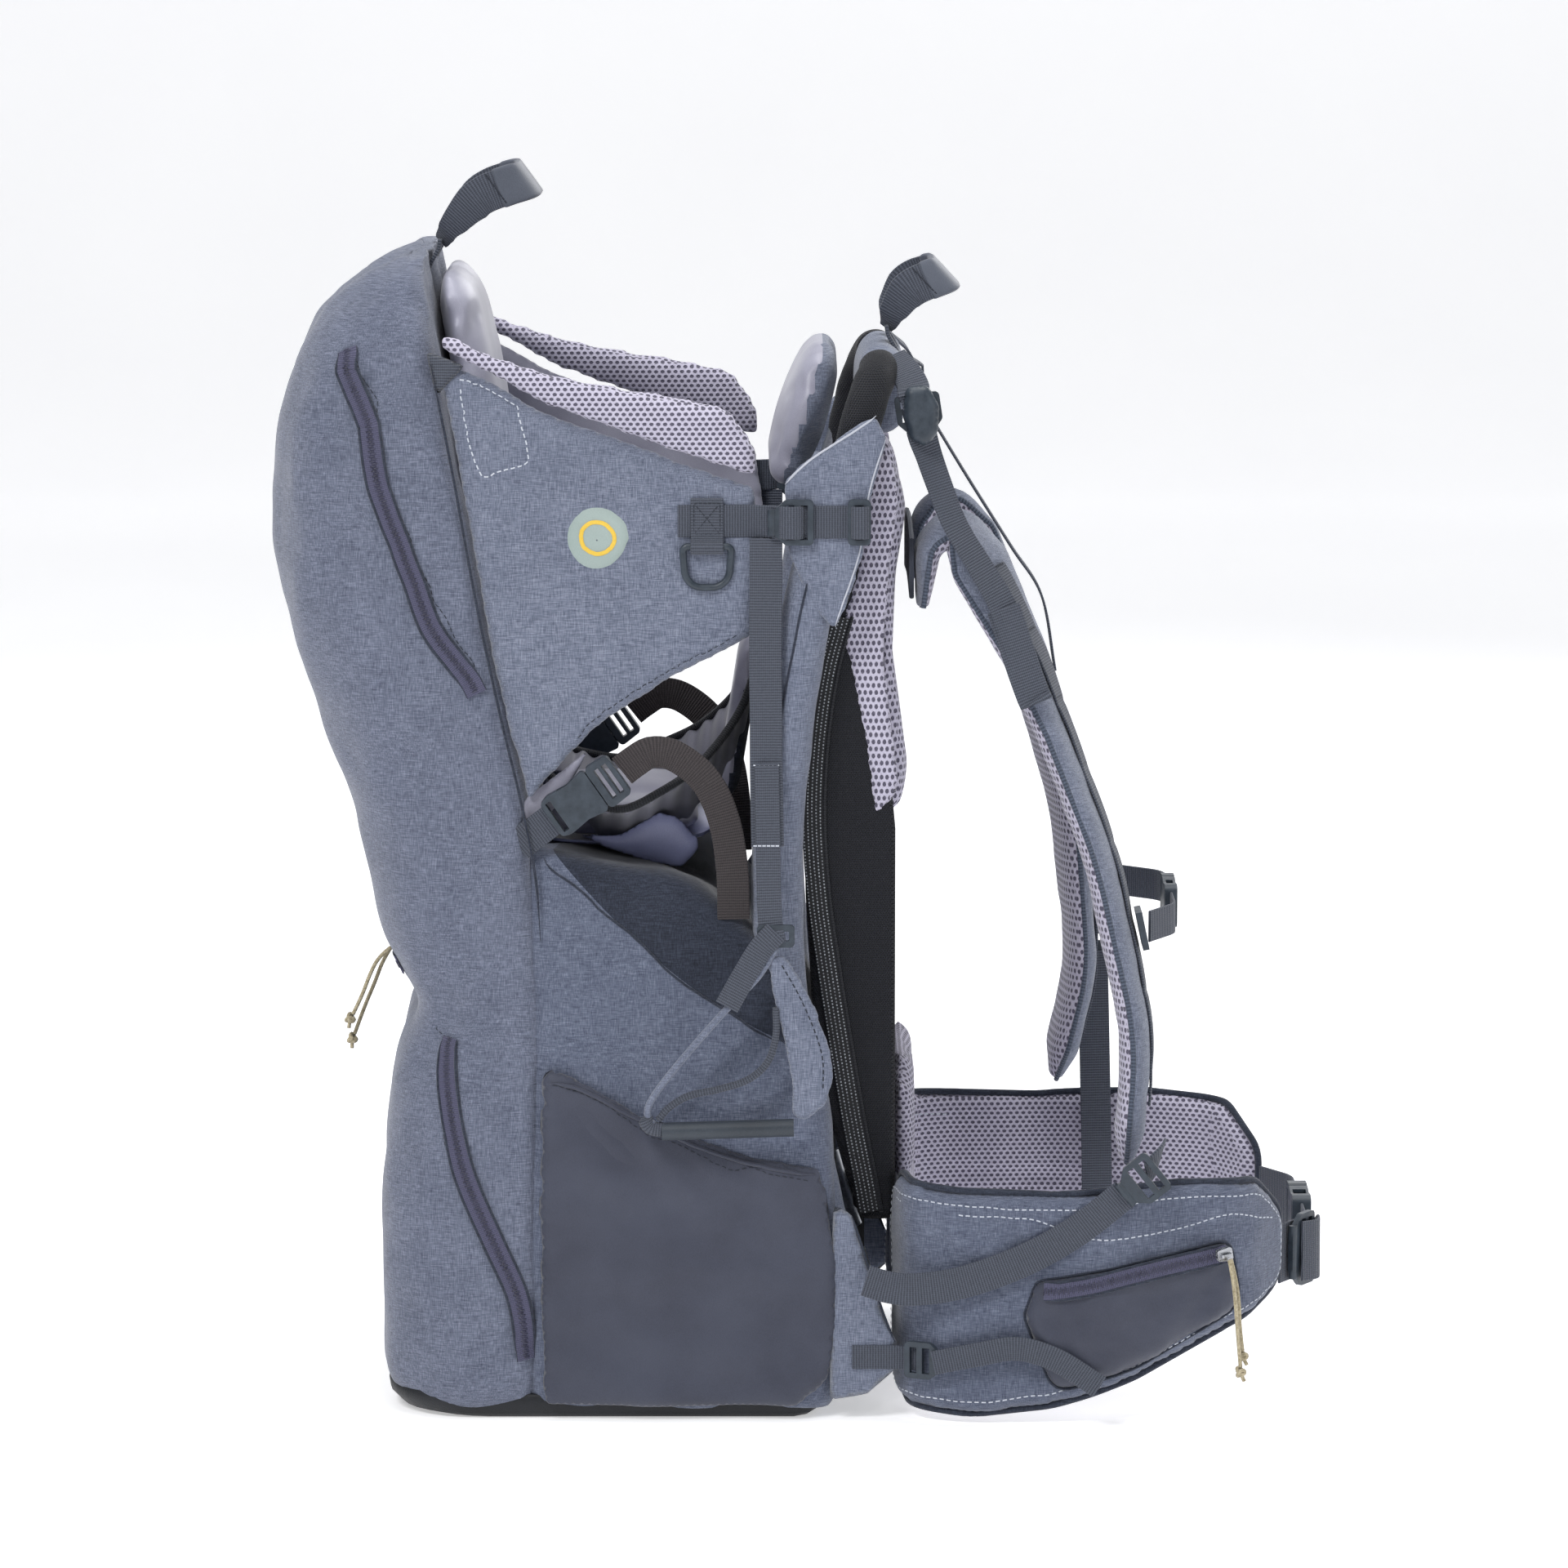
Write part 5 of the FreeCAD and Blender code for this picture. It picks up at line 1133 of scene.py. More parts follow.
def strap_line(name):
    """A shoulder strap's middle line and its width's direction, which leans outwards near the top."""
    points, bends, (y_top, y_end) = STRAPS[name]
    slope = (y_top - y_end) / (points[1][1] - points[-1][1])
    route = [(x, y_top + slope * (z - points[1][1]), z) for x, z in points]
    path = eased(route, bends, 4.0)
    flat, out = frames_along(path, (0.0, 1.0, -slope))
    lean = np.interp(np.linspace(0, 1, len(path)), [0, 0.1, 0.18, 0.42, 1], [0.0, 0.1, 0.6, 0.2, 0.05]) * (1
            if name == "right" else -1)
    return path, flat * np.cos(lean)[:, None] - out * np.sin(lean)[:, None]


def shoulder_strap(name):
    """A padded strap: cloth outside, mesh inside, bound edges, and a webbing ladder sewn down its outer face."""
    path, across = strap_line(name)
    section = cushion_section(STRAP_WIDE, STRAP_THICK, count=20)
    count = len(section)
    columns = [1 if section[j][1] + section[(j + 1) % count][1] > 0 else 0 for j in range(count)]
    ends = lambda t: (min(1.0, 0.72 + 3 * t, 0.42 + 11 * (1 - t)), min(1.0, 0.4 + 6 * t, 0.4 + 14 * (1 - t)))
    pad_ = strap("shoulder_strap_" + name + "_pad", path, across, section, [DENIM, LILAC_TALL], shape=ends,
                 columns=columns)
    wrinkle(pad_, 0.9, (30, 30, 26), seed=9.0)
    soften(pad_)
    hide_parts("shoulder_strap_" + name)
    side, normal = frames_along(path, across)
    wide = np.array([ends(i / (len(path) - 1))[0] for i in range(len(path))])[:, None]
    for label, sign in (("in", -1), ("out", 1)):
        tube("strap_binding_%s_%s" % (name, label), path + side * wide * sign * (STRAP_WIDE / 2 - 0.6), 1.7,
             BINDING, sides=8)
    last = int(len(path) * 0.93)
    first = int(len(path) * 0.2)
    face = path[first:last] - normal[first:last] * (STRAP_THICK / 2 + 0.4)
    ladder = [face[i] - normal[first + i] * abs(math.sin(i * 4.0 / 46 * math.pi)) ** 0.5
              for i in range(len(face))]
    web("strap_ladder_" + name, ladder, across[first:last], 20.0)
    for i in range(0, len(face), 11):
        centre, lift = face[i], -normal[first + i]
        row = [centre + lift * 1.1 + side[first + i] * u for u in np.linspace(-8.5, 8.5, 5)]
        stitches("strap_tack_%s_%d" % (name, i), row, [lift] * 5, THREAD_DARK, length=1.6, gap=0.3, size=0.6)


def harness_webbing():
    """Yoke, load lifters, lower shoulder straps, belt stabilisers and the hip strap's fixed half."""
    yoke = web("yoke", [(187.0, y, 527 + 2.5 * math.cos(y / 36)) for y in np.linspace(-88, 88, 30)], (0, 0, 1),
               38.0, thick=3.0)
    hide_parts("webbing_harness")
    near = flowing([
        (188.5, -103.0, 634), (190, -107.8, 627), (191.6, -107.6, 619), (192.6, -104, 611), (196, -102, 600),
        (203, -104, 580), (213, -109, 555), (228, -113, 530), (243, -117, 504), (256, -122, 468),
        (262, -125, 449),
    ], 3.0)
    turn = np.interp(np.linspace(0, 1, len(near)), [0, 0.2, 0.5, 1], [0.1, 0.5, 0.6, 0.1])
    twist = np.stack([np.cos(turn), np.sin(turn), np.zeros(len(near))], axis=1)
    web("load_lifter_right", near, twist, 19.0)
    web("lifter_anchor_right", flowing([(174, -80, 656), (182, -92, 648), (187, -101, 640), (187.4, -107, 636),
                                        (188.6, -106.8, 632), (189, -101, 633)], 3.0), (1, 0, 0.1), 20.0)
    lock = [(182, 640, 8), (197, 642, 9), (204, 628, 10), (203, 611, 8), (195, 602, 6), (185, 606, 8),
            (180, 622, 14)]
    shell = pad("lifter_lock_shell", lock, lambda a, b, n: (a, -109.0 - n, b), dome(5.0, 5), dome(0.6, 2), PLASTIC,
                step=2.5)
    soften(shell)
    web("lifter_anchor_left",
        flowing([(178, 70, 656), (186, 78, 648), (191, 82, 640), (197, 82, 636), (196, 82, 630)], 3.0), (0, 1, 0),
        20.0)
    fold = flowing([(243, -118.5, 504), (255, -124, 468), (262, -127, 449), (264, -128.5, 446), (262, -127.8, 449)],
                   3.0)
    web("load_lifter_right_fold", fold, (1, 0, 0.1), 21.0)
    web("load_lifter_left", flowing([(199.5, 82, 608), (225, 82, 566), (254, 82, 520), (274, 82, 488),
                                     (283, 82, 440)], 5.0), (0, 1, 0), 20.0)
    low = flowing([(158, -168.5, 93), (172, -169.5, 89), (188, -169.5, 87.5), (214, -169.5, 91), (242, -169.5, 100),
                   (268, -169.5, 112), (292, -169.6, 127), (318, -169.5, 148)], 4.0)
    sway = np.stack([np.full(len(low), -0.45), 0.16 * np.sin(np.linspace(0, 5, len(low))), np.full(len(low), 1.0)],
                    axis=1)
    web("lower_strap_right", low, sway, 20.0)
    web("lower_strap_right_end", flowing([(331, -168, 160), (338, -160, 167), (341, -150, 170)], 3.0), (0.3, 0, 1),
        20.0)
    web("lower_strap_left", [(311, 133, 246), (312.3, 132.5, 200), (313.6, 133.4, 150), (314.6, 133, 110),
                             (315, 133, 86)], (1, 0, 0), 20.0)
    web("lower_strap_left_tail", flowing([(311, 139.5, 250), (311.5, 141.5, 238), (309, 141, 210), (312, 142, 186)],
                                         4.0), (1, 0, 0), 20.0)
    web("hip_web_right_band", eased([(419, -90, 92), (438, -60, 92), (438, -26.5, 92)], [30], 3.0), (0, 0, 1), 38.0)
    web("hip_web_right_tail", flowing([(434, -82, 92), (444.5, -70, 91), (446.5, -52, 90), (446.0, -40, 84)], 3.0),
        (0, 0.08, 1), 38.0)
    for name, side in SIDES.items():
        stay = [(150, side * 153.4, 41), (174, side * 153.9, 41), (186, side * 156.5, 41), (192, side * 159, 41)]
        web("stabiliser_" + name, flowing(stay, 3.0), (0, 0, 1), 15.0)


def belt_line():
    """The middle line of the right wing, seen from above."""
    points = [(182, -114), (188, -146), (215, -157), (300, -161), (392, -132), (418, -92)]
    return eased(points, [26, 60, 80, 40], 2.0)


BELT = belt_line()
BELT_RUN = np.concatenate([[0], np.cumsum(np.linalg.norm(np.diff(BELT, axis=0), axis=1))])
BELT_OUT = np.stack([np.gradient(BELT[:, 1]), -np.gradient(BELT[:, 0])], axis=1)
BELT_OUT /= np.linalg.norm(BELT_OUT, axis=1)[:, None]


def belt_run(x):
    """Distance along the right wing to where it passes x."""
    if x < BELT[0][0]:
        return x - BELT[0][0]
    return float(np.interp(x, BELT[:, 0], BELT_RUN)) + max(0.0, x - BELT[-1][0])


def belt_point(s, z, n, side):
    """The point s along a wing, n outwards from its middle."""
    inside = min(max(s, 0.0), BELT_RUN[-1])
    x, y, ox, oy = (float(np.interp(inside, BELT_RUN, column)) for column in (BELT[:, 0], BELT[:, 1],
            BELT_OUT[:, 0], BELT_OUT[:, 1]))
    over = s - inside
    x, y = x - oy * over + ox * n, y + ox * over + oy * n
    return (x, y * -side, z)


def on_wing(x, z, n, side):
    """The point of a wing that shows at x."""
    return belt_point(belt_run(x), z, n, side)


def on_belt(points):
    """An outline of (x, z, ease) corners seen from the side, laid out along the wing."""
    return [(belt_run(p[0]), *p[1:]) for p in points]


def inset(border, amount):
    """A closed loop moved inwards."""
    along = np.roll(border, -1, axis=0) - np.roll(border, 1, axis=0)
    along /= np.linalg.norm(along, axis=1)[:, None]
    normal = np.stack([-along[:, 1], along[:, 0]], axis=1)
    area = (border[:, 0] * np.roll(border[:, 1], -1) - np.roll(border[:, 0], -1) * border[:, 1]).sum()
    return border + normal * amount * (1 if area > 0 else -1)


WING = [(172, 152, 20), (216, 147, 60), (275, 145, 60), (349, 150, 40), (400, 147, 26), (419, 122, 20),
        (419, 76, 24), (385, 58, 50), (325, 28, 90), (275, 12, 80), (226, 6, 80), (184, 10, 30), (172, 24, 14)]
POUCH = [(256, 70, 10), (264, 92, 6), (300, 98, 30), (345, 106, 50), (382, 113, 8), (389, 70, 20), (325, 36, 60),
         (275, 21, 50)]


def hip_belt(side, name):
    """A wing of the belt with its zipped stretch pocket, bound edge and sewn lines."""
    outline = on_belt(WING)
    place = lambda a, b, n: belt_point(a, b, n, side)
    full = lambda a, b: 0.9 * math.sin(a / 30.0) * math.sin(b / 24.0)
    # The wing's darker denim is painted shade.
    wing = pad("hip_wing_%s_pad" % name, outline, place, dome(6.8, 9), dome(6.8, 10), [DENIM_PAINTED_SHADE, LILAC],
               step=5.0, relief=full)
    wrinkle(wing, 1.0, (40, 40, 30), seed=11.0 + side)
    inner = [on_wing(x, z, -7, side) for x, z in ((200, 98), (250, 92), (300, 90), (350, 94), (400, 100))]
    for start, end in zip(inner, inner[1:]):
        crease(wing, start, end, 4, 2.2)
    for start, end in (((200, 118), (240, 86)), ((232, 130), (262, 104)), ((400, 130), (380, 116))):
        crease(wing, on_wing(start[0], start[1], 7, side), on_wing(end[0], end[1], 7, side), 8, 1.5)
    soften(wing)
    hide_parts("hip_wing_" + name)
    border = rim_of(outline, 4.0)
    edge = [place(a, b, 0) for a, b in border]
    tube("belt_binding_" + name, edge + edge[:2], 2.3, DENIM_DARK, sides=8)
    tree = tree_of(wing)
    loop = [place(a, b, 12) for a, b in inset(border, 8.0)]
    path, normals = draped(loop + loop[:1], tree, 0.1)
    stitches("belt_stitch_" + name, path, normals, THREAD, size=0.4)
    upper = [place(belt_run(x), z, 12) for x, z in ((184, 137), (240, 131), (262, 131), (300, 118), (345, 121),
                                                    (380, 128), (408, 120))]
    sewn("belt_yoke_stitch_" + name, upper, tree)
    outline = on_belt(POUCH)
    out = lambda a, b, n: belt_point(a, b, n + 6.6, side)
    sag = lambda a, b: 2.0 * math.exp(-((b - 58) / 18.0) ** 2)
    pouch = pad("hip_pocket_" + name, outline, out, dome(6.6, 13), dome(0.5, 3), STRETCH, relief=sag)
    wrinkle(pouch, 1.6, (26, 26, 18), seed=14.0 + side)
    for start, end in (((290, 92), (300, 50)), ((262, 86), (290, 40)), ((378, 100), (352, 62)),
                       ((385, 84), (340, 50))):
        crease(pouch, on_wing(start[0], start[1], 13, side), on_wing(end[0], end[1], 13, side), 6, 1.5)
    soften(pouch)
    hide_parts("hip_pockets")
    edge = [out(a, b, 0.4) for a, b in rim_of(outline, 4.0)]
    tube("pocket_edge_" + name, edge + edge[:2], 0.9, DENIM_DARK, sides=6)
    surface = tree_of(pouch, wing)
    if side == RIGHT:
        route = [(268, 88), (290, 90), (312, 96), (345, 102), (380, 107.5)]
        path, normals = draped(flowing([on_wing(x, z, 18, side) for x, z in route], 2.0), surface, 0.3)
        tape = zipper("hip_zip", path, normals, width=11.0)
        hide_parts("zips")
    tail = [(206, 40), (228, 46), (252, 50), (276, 44), (300, 27)]
    path = flowing([on_wing(x, z + 1, 16.8 - 2.4 * math.sin(i * 1.1), side) for i, (x, z) in enumerate(tail)], 3.0)
    web("stabiliser_tail_" + name, path, (0.15, 0, 1), 15.0)


# --- Webbing on the pack

def pack_webbing(side, name):
    """Side compression strap, ring tab, stirrup strap and its adjusters."""
    across_z, across_x = (0, 0, 1), (1, 0, 0)
    route = [(43, 137.0, 560), (84, 137.0, 560), (94, 139.4, 560), (101, 142.3, 560), (108, 148.4, 560),
             (114, 149.2, 560), (119, 146.0, 560), (121, 142.2, 560)]
    main = web("compression_strap_" + name, outward(side, route, 2.5), across_z, 20.0)
    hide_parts("webbing_pack")
    route = [(116, 142.0, 560), (122, 143.6, 560), (136, 143.6, 560), (147, 143.6, 560), (151, 148.6, 560),
             (157, 149.0, 560), (160, 145, 560), (156, 141.6, 560)]
    web("strap_anchor_" + name, outward(side, route, 2.5), across_z, 20.0)
    tab = [(61, 138.0, 574), (61, 138.2, 556), (61, 139.0, 549), (61, 142.6, 546), (61, 143.0, 543),
           (61, 139.6, 540.6), (61, 137.6, 544), (61, 137.2, 552)]
    web("ring_tab_" + name, outward(side, tab, 2.0), across_x, 20.0)
    box_y = side * 138.9
    lines = [[(53, 552), (69, 552), (69, 571), (53, 571), (53, 552)], [(53, 552), (69, 571)],
             [(69, 552), (53, 571)]]
    for number, line in enumerate(lines):
        path = resample([(x, box_y, z) for x, z in line], max(3, int(length_of(line) / 2)))
        stitches("ring_tab_stitch_%s_%d" % (name, number), path, [(0, side, 0)] * len(path), THREAD_DARK,
                 length=2.0, gap=0.8, size=0.4)
    route = [(97, 142.4, 550), (97, 142.6, 520), (96.6, 144.2, 480), (97, 144, 440), (97, 146.2, 415),
             (97.5, 152, 385), (98, 158, 362)]
    web("stirrup_strap_" + name, outward(side, route, 4.0), across_x, 20.0)
    route = [(97.4, 148.6, 412), (97.8, 154, 386), (98.3, 160.4, 362), (98.6, 163.6, 340), (99.5, 167.6, 318),
             (101, 170.6, 309), (102, 169.5, 304)]
    web("stirrup_strap_low_" + name, outward(side, route, 3.0), across_x, 15.0)
    for z, y in ((411, 149.2), (363, 161.2)):
        row = [(97.8 + u, side * y, z) for u in np.linspace(-9, 9, 6)]
        stitches("stirrup_tack_%s_%d" % (name, z), row, [(0, side, 0)] * 6, THREAD, length=2.2, gap=0.5, size=0.45)
    route = [(103, 170.8, 311), (99, 172.2, 307), (93, 172.2, 300), (84, 172.2, 285), (73, 172.0, 265)]
    web("stirrup_tail_" + name, outward(side, route, 3.0), (1, 0, -0.62), 15.0)


def stirrup(side, name, body):
    """A foot stirrup: covered straps in a loop, a stiff sewn tab and a rubber tread bar."""
    y = side * STIRRUP_Y
    left = flowing(level(y, [(103, 301), (92, 283), (72, 262), (46, 232), (29, 210), (24, 198), (29, 190),
                             (40, 187)]), 3.0)
    oval = [(3.0 * math.cos(a), 2.2 * math.sin(a)) for a in np.linspace(0, 2 * math.pi, 11)[:-1]]
    loop = strap("stirrup_loop_%s_strap" % name, left, (0, 1, 0), oval, DENIM, body)
    inner = flowing(level(y, [(103, 264), (103, 246), (98, 230), (86, 219), (68, 213), (50, 209), (38, 202),
                              (31, 194)]), 3.0)
    strap("stirrup_inner_" + name, inner, (0, 1, 0), oval, WEBBING, body)
    tab = [(98, 297, 3), (108, 297, 3), (124, 272, 30), (137, 238, 20), (139, 220, 10), (134, 203, 8),
           (122, 193, 5), (112, 196, 4), (113, 214, 20), (108, 242, 30), (100, 275, 20)]
    plate = pad("stirrup_tab_" + name, tab, beside(side, STIRRUP_Y), dome(2.2, 4), dome(2.2, 4), DENIM, body,
                step=3.0)
    soften(plate)
    tree = tree_of(plate)
    sewn("stirrup_stitch_" + name, level(side * 172, [(106, 292), (120, 266), (131, 236), (132, 212)]), tree,
         THREAD_DARK, body)
    cuff = flowing(level(y, [(36, 187.5), (26, 189), (22, 196)]), 2.0)
    tube("stirrup_cuff_" + name, cuff, 4.6, WEBBING, body, sides=12, taper=True)
    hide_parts("stirrup_loop_" + name)


def haul(name, pivot, spread, reach, width, lean, body):
    """A carry loop of webbing, crumpled where it is sewn in, with a smooth sleeve over its grip."""
    shape = [(-spread + 12, 1), (-spread + 4, 6), (-spread, 12), (-spread - 3, reach * 0.55),
             (-spread, reach * 0.82), (-spread * 0.72, reach * 0.98), (0, reach)]
    shape += [(-y, r) for y, r in reversed(shape[:-1])]
    tilt = math.radians(lean)
    swing = lambda r: -9.0 * math.sin(math.pi * max(0.0, min(1.0, r / reach)))
    path = flowing([(pivot[0] + r * math.sin(tilt) + swing(r) * math.cos(tilt), y,
                     pivot[1] + r * math.cos(tilt) - swing(r) * math.sin(tilt))
                    for y, r in shape], 2.5)
    across = (math.cos(tilt), 0, -math.sin(tilt))
    gather = lambda t: (min(1.0, 0.40 + 3.2 * min(t, 1 - t)), 1.0)
    band = web(name + "_band", path, across, width, body=body, thick=2.2, shape=gather)
    wrinkle(band, 0.8, (9, 9, 9), seed=3.0, where=lambda p: 1.0
            if (p.z - pivot[1]) < 0.5 * reach * math.cos(tilt) else 0.2)
    first, last = int(len(path) * 0.27), int(len(path) * 0.73)
    grip = strap(name + "_grip", path[first:last], across, tape_section(width + 1.6, 4.4), HANDLE, body)
    soften(grip)
    for number, at in enumerate((first, last - 1)):
        row = [path[at] + np.asarray(across) * u for u in np.linspace(-width / 2, width / 2, 8)]
        row = [r + np.array([0, -2.4 if r[1] < 0 else 2.4, 0]) for r in row]
        stitches("%s_tack_%d" % (name, number), row, [(0, -1 if row[0][1] < 0 else 1, 0)] * 8, THREAD_DARK, body,
                 length=2.0, gap=0.5, size=0.5)
    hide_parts(name)
    back = -1 if pivot[0] < 0 else 1
    for label, side in SIDES.items():
        foot = [(0, 3), (1 * back, -3), (6 * back, -12), (11 * back, -24)]
        root = flowing([(pivot[0] + x, side * (spread - 6), pivot[1] + z) for x, z in foot], 2.0)
        web("%s_root_%s" % (name, label), root, (0, 1, 0), width, thick=2.4)


def crossing_webs():
    """Webbing that spans a buckle's joint."""
    for name, side in SIDES.items():
        y = side * 134
        path = flowing(level(y, [(8.4, 405.2), (16, 411), (27, 417), (42, 414), (60, 399), (71, 375), (76, 345),
                                 (77, 313)]), 3.0)
        tangent = np.gradient(path, axis=0)
        across = np.stack([-tangent[:, 2], 0.5 * np.sin(np.linspace(0, math.pi, len(path))) * side, tangent[:, 0]],
                          axis=1)
        strip = web("leg_strap_" + name, path, across, 20.0, WEBBING_BROWN, body=None)
        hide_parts("leg_web_" + name)
        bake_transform(strip)
    web_s = web("sternum_strap_left", eased([(353, 26.1, 302), (353, 58, 302), (317.5, 88, 302)], [26], 3.0),
                (0, 0, 1), 20.0, body=None)
    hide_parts("sternum_web_left")
    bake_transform(web_s)
    near = web("sternum_strap_right", eased([(335.4, -97, 302), (353, -66, 302), (353, -26.5, 302)], [26], 3.0),
               (0, 0, 1), 20.0, body="sternum")
    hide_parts("sternum_web_right")
    web_h = web("hip_strap_left", eased([(438, 26.1, 92), (438, 60, 92), (419, 90, 92)], [30], 3.0), (0, 0, 1),
                38.0, body=None)
    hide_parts("hip_web_left")
    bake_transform(web_h)


# --- Inside the cockpit

def seat_and_pads():
    """Backrest, seat, the liner in front of the child and the face pad."""
    rest = [(-90, 398, 14), (90, 398, 14), (92, 640, 60), (84, 700, 40), (58, 715, 30), (-58, 715, 30),
            (-84, 700, 40), (-92, 640, 60)]
    spine = lambda z: float(np.interp(z, [396, 500, 649, 704, 716], [-50, -68, -92, -104, -106]))
    channels = [((-90, 470), (90, 470), 6, 0.5), ((-90, 560), (90, 560), 6, 0.5)]
    cushion = pad("backrest_pad", rest, lambda a, b, n: (spine(b) + n, a, b), dome(15, 20), dome(1.5, 4), LINING,
                  step=6.0, channels=channels)
    inflate(cushion, 6.0, 5.0)
    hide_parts("backrest_cushion")
    saddle = [(-44, -60, 12), (56, -60, 20), (56, 60, 20), (-44, 60, 12)]
    seat = pad("seat_cushion", saddle, lambda a, b, n: (a, b, 357 + n), dome(22, 20, 4), dome(3, 6), LINING,
               step=6.0)
    inflate(seat, 6.0, 4.0)
    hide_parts("seat_pad")
    rings = []
    for x, drop in ((-44, 0), (-30, -3), (0, -4), (30, -3.5), (52, 0), (64, 4)):
        half = 76 - 0.004 * (x - 10) ** 2
        arc = [(x, y, 350 + drop + 7 * (abs(y) / 76) ** 3) for y in np.linspace(-half, half, 20)]
        rings.append(arc + [(x, p[1], p[2] - 2.4) for p in reversed(arc)])
    board = loft("seat_shell", rings, SHELL)
    soften(board)
    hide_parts("seat_board")
    apron = [(-44, 366, 12), (44, 366, 12), (40, 470, 10), (30, 480, 6), (-30, 480, 6), (-40, 470, 10)]
    front = lambda z: float(np.interp(z, [356, 380, 440, 480], [66, 74, 84, 90]))
    nose = pad("seat_front_pad", apron, lambda a, b, n: (front(b) - n * 0.95, a, b), dome(6, 10), dome(3, 6),
               [LINING, DENIM_DARK], step=5.0)
    inflate(nose, 5.0, 3.0)
    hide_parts("seat_front")
    for name, side in SIDES.items():
        wing = [(-44, 396), (-20, 384), (6, 378), (30, 388), (56, 404), (80, 432), (94, 470)]
        path = flowing([(x, side * (62 + 52 * math.sin(math.pi * min(1.0, max(0.0, (x + 44) / 125)))), z) for x,
                        z in wing], 4.0)
        path_low = [(p[0], p[1] * 0.55, p[2] - 8 - 24 * math.sin(math.pi * i / (len(path) - 1))) for i,
                    p in enumerate(path)]
        rings = []
        for i, (top, low) in enumerate(zip(path, path_low)):
            top, low = np.asarray(top), np.asarray(low)
            sheet = [top + (low - top) * t + np.array([0, 0,
                                                       5 * math.sin(math.pi * t) + 2.6 * math.sin(i * 1.5 + 2 * t)])
                                                       for t in np.linspace(0, 1, 9)]
            rings.append(sheet + [p - np.array([0, 0, 2.4]) for p in reversed(sheet)])
        liner = loft("seat_liner_" + name, rings, LINER_GREY)
        soften(liner)
        tube("liner_binding_" + name, path, 2.6, BLACK_WEB, sides=8)
        lip = [(-22, 358, 3), (6, 358, 20), (30, 373, 8), (42, 370, 6), (58, 352, 8), (45, 336, 8), (30, 338, 20),
               (2, 347, 30)]
        skirt = pad("seat_shell_lip_" + name, lip, lambda a, b, n: (a, side * (82.0 + n + 0.12 * (b - 345)), b),
                    dome(3.0, 12), dome(0.4, 2), SHELL, step=3.0)
        soften(skirt)
        flap = [(-55, 381, 2), (-50, 389, 4), (-30, 404, 8), (-10, 420, 3), (-20, 402, 8), (-30, 384, 6),
                (-47, 366, 3)]
        inner = pad("leg_liner_" + name, flap, beside(side, 126.5), dome(1.4, 4), dome(0.6, 2), LINING, step=2.5)
        wrinkle(inner, 0.8, (14, 14, 14), seed=7.0)
        soften(inner)
        webbed = flowing([(-56, side * 133, 358.5), (-48, side * 134, 365), (-40, side * 134.2, 371),
                          (-33, side * 134, 376.3)], 2.0)
        web("leg_socket_web_" + name, webbed, (-0.57, 0, 0.82), 20.0)
    face = [(-64, 572, 24), (64, 572, 24), (70, 620, 40), (60, 655, 30), (36, 663, 24), (-36, 663, 24),
            (-60, 655, 30), (-70, 620, 40)]
    spine_x = lambda z: float(np.interp(z, [566, 584, 608, 644, 664], [106, 110, 118, 129, 132]))
    pillow = pad("face_cushion_pad", face, lambda a, b, n: (spine_x(b) - n, a, b), dome(14, 26), dome(12, 18),
                 [LINING, DENIM], body="face_cushion", step=5.0)
    inflate(pillow, 5.0, 5.0)
    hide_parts("face_pad")


# --- Zips and cords

ARCH = {
    "right": [(-176, 679), (-160, 650), (-149, 620), (-141, 588), (-133, 556), (-122, 525), (-105, 492),
              (-82, 453)],
    "left": [(-166, 660), (-156, 632), (-143, 600), (-128, 566), (-112, 532), (-97, 492), (-82, 450)],
}
SIDE_ZIP = [(-117, 252), (-112, 238), (-104, 205), (-94, 168), (-78, 128), (-63, 98), (-51, 68), (-45, 38)]


def pack_zips(tree):
    """The zips on the bag's skin, and the stitching beside them."""
    for name, side in SIDES.items():
        for label, route in (("arch_zip", ARCH[name]), ("side_zip", SIDE_ZIP)):
            path, normals = draped(flowing(level(side * 160, route), 2.0), tree, 0.4)
            tape = zipper("%s_%s" % (label, name), path, normals)
            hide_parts("zips")
    path, normals = draped(flowing([(-150, y, 272.5 - 0.0004 * y * y) for y in range(-104, 105, 13)], 2.0), tree,
                           0.4)
    zipper("rear_zip", path, normals)
    for name, side in SIDES.items():
        flap = [(x - 8, side * 160, z + 3) for x, z in SIDE_ZIP]
        sewn("side_zip_stitch_" + name, flap, tree, THREAD_DARK, size=0.3)
        flap = [(x + 8, side * 160, z + 3) for x, z in ARCH[name]]
        sewn("arch_zip_stitch_" + name, flap, tree, THREAD_DARK, size=0.3)


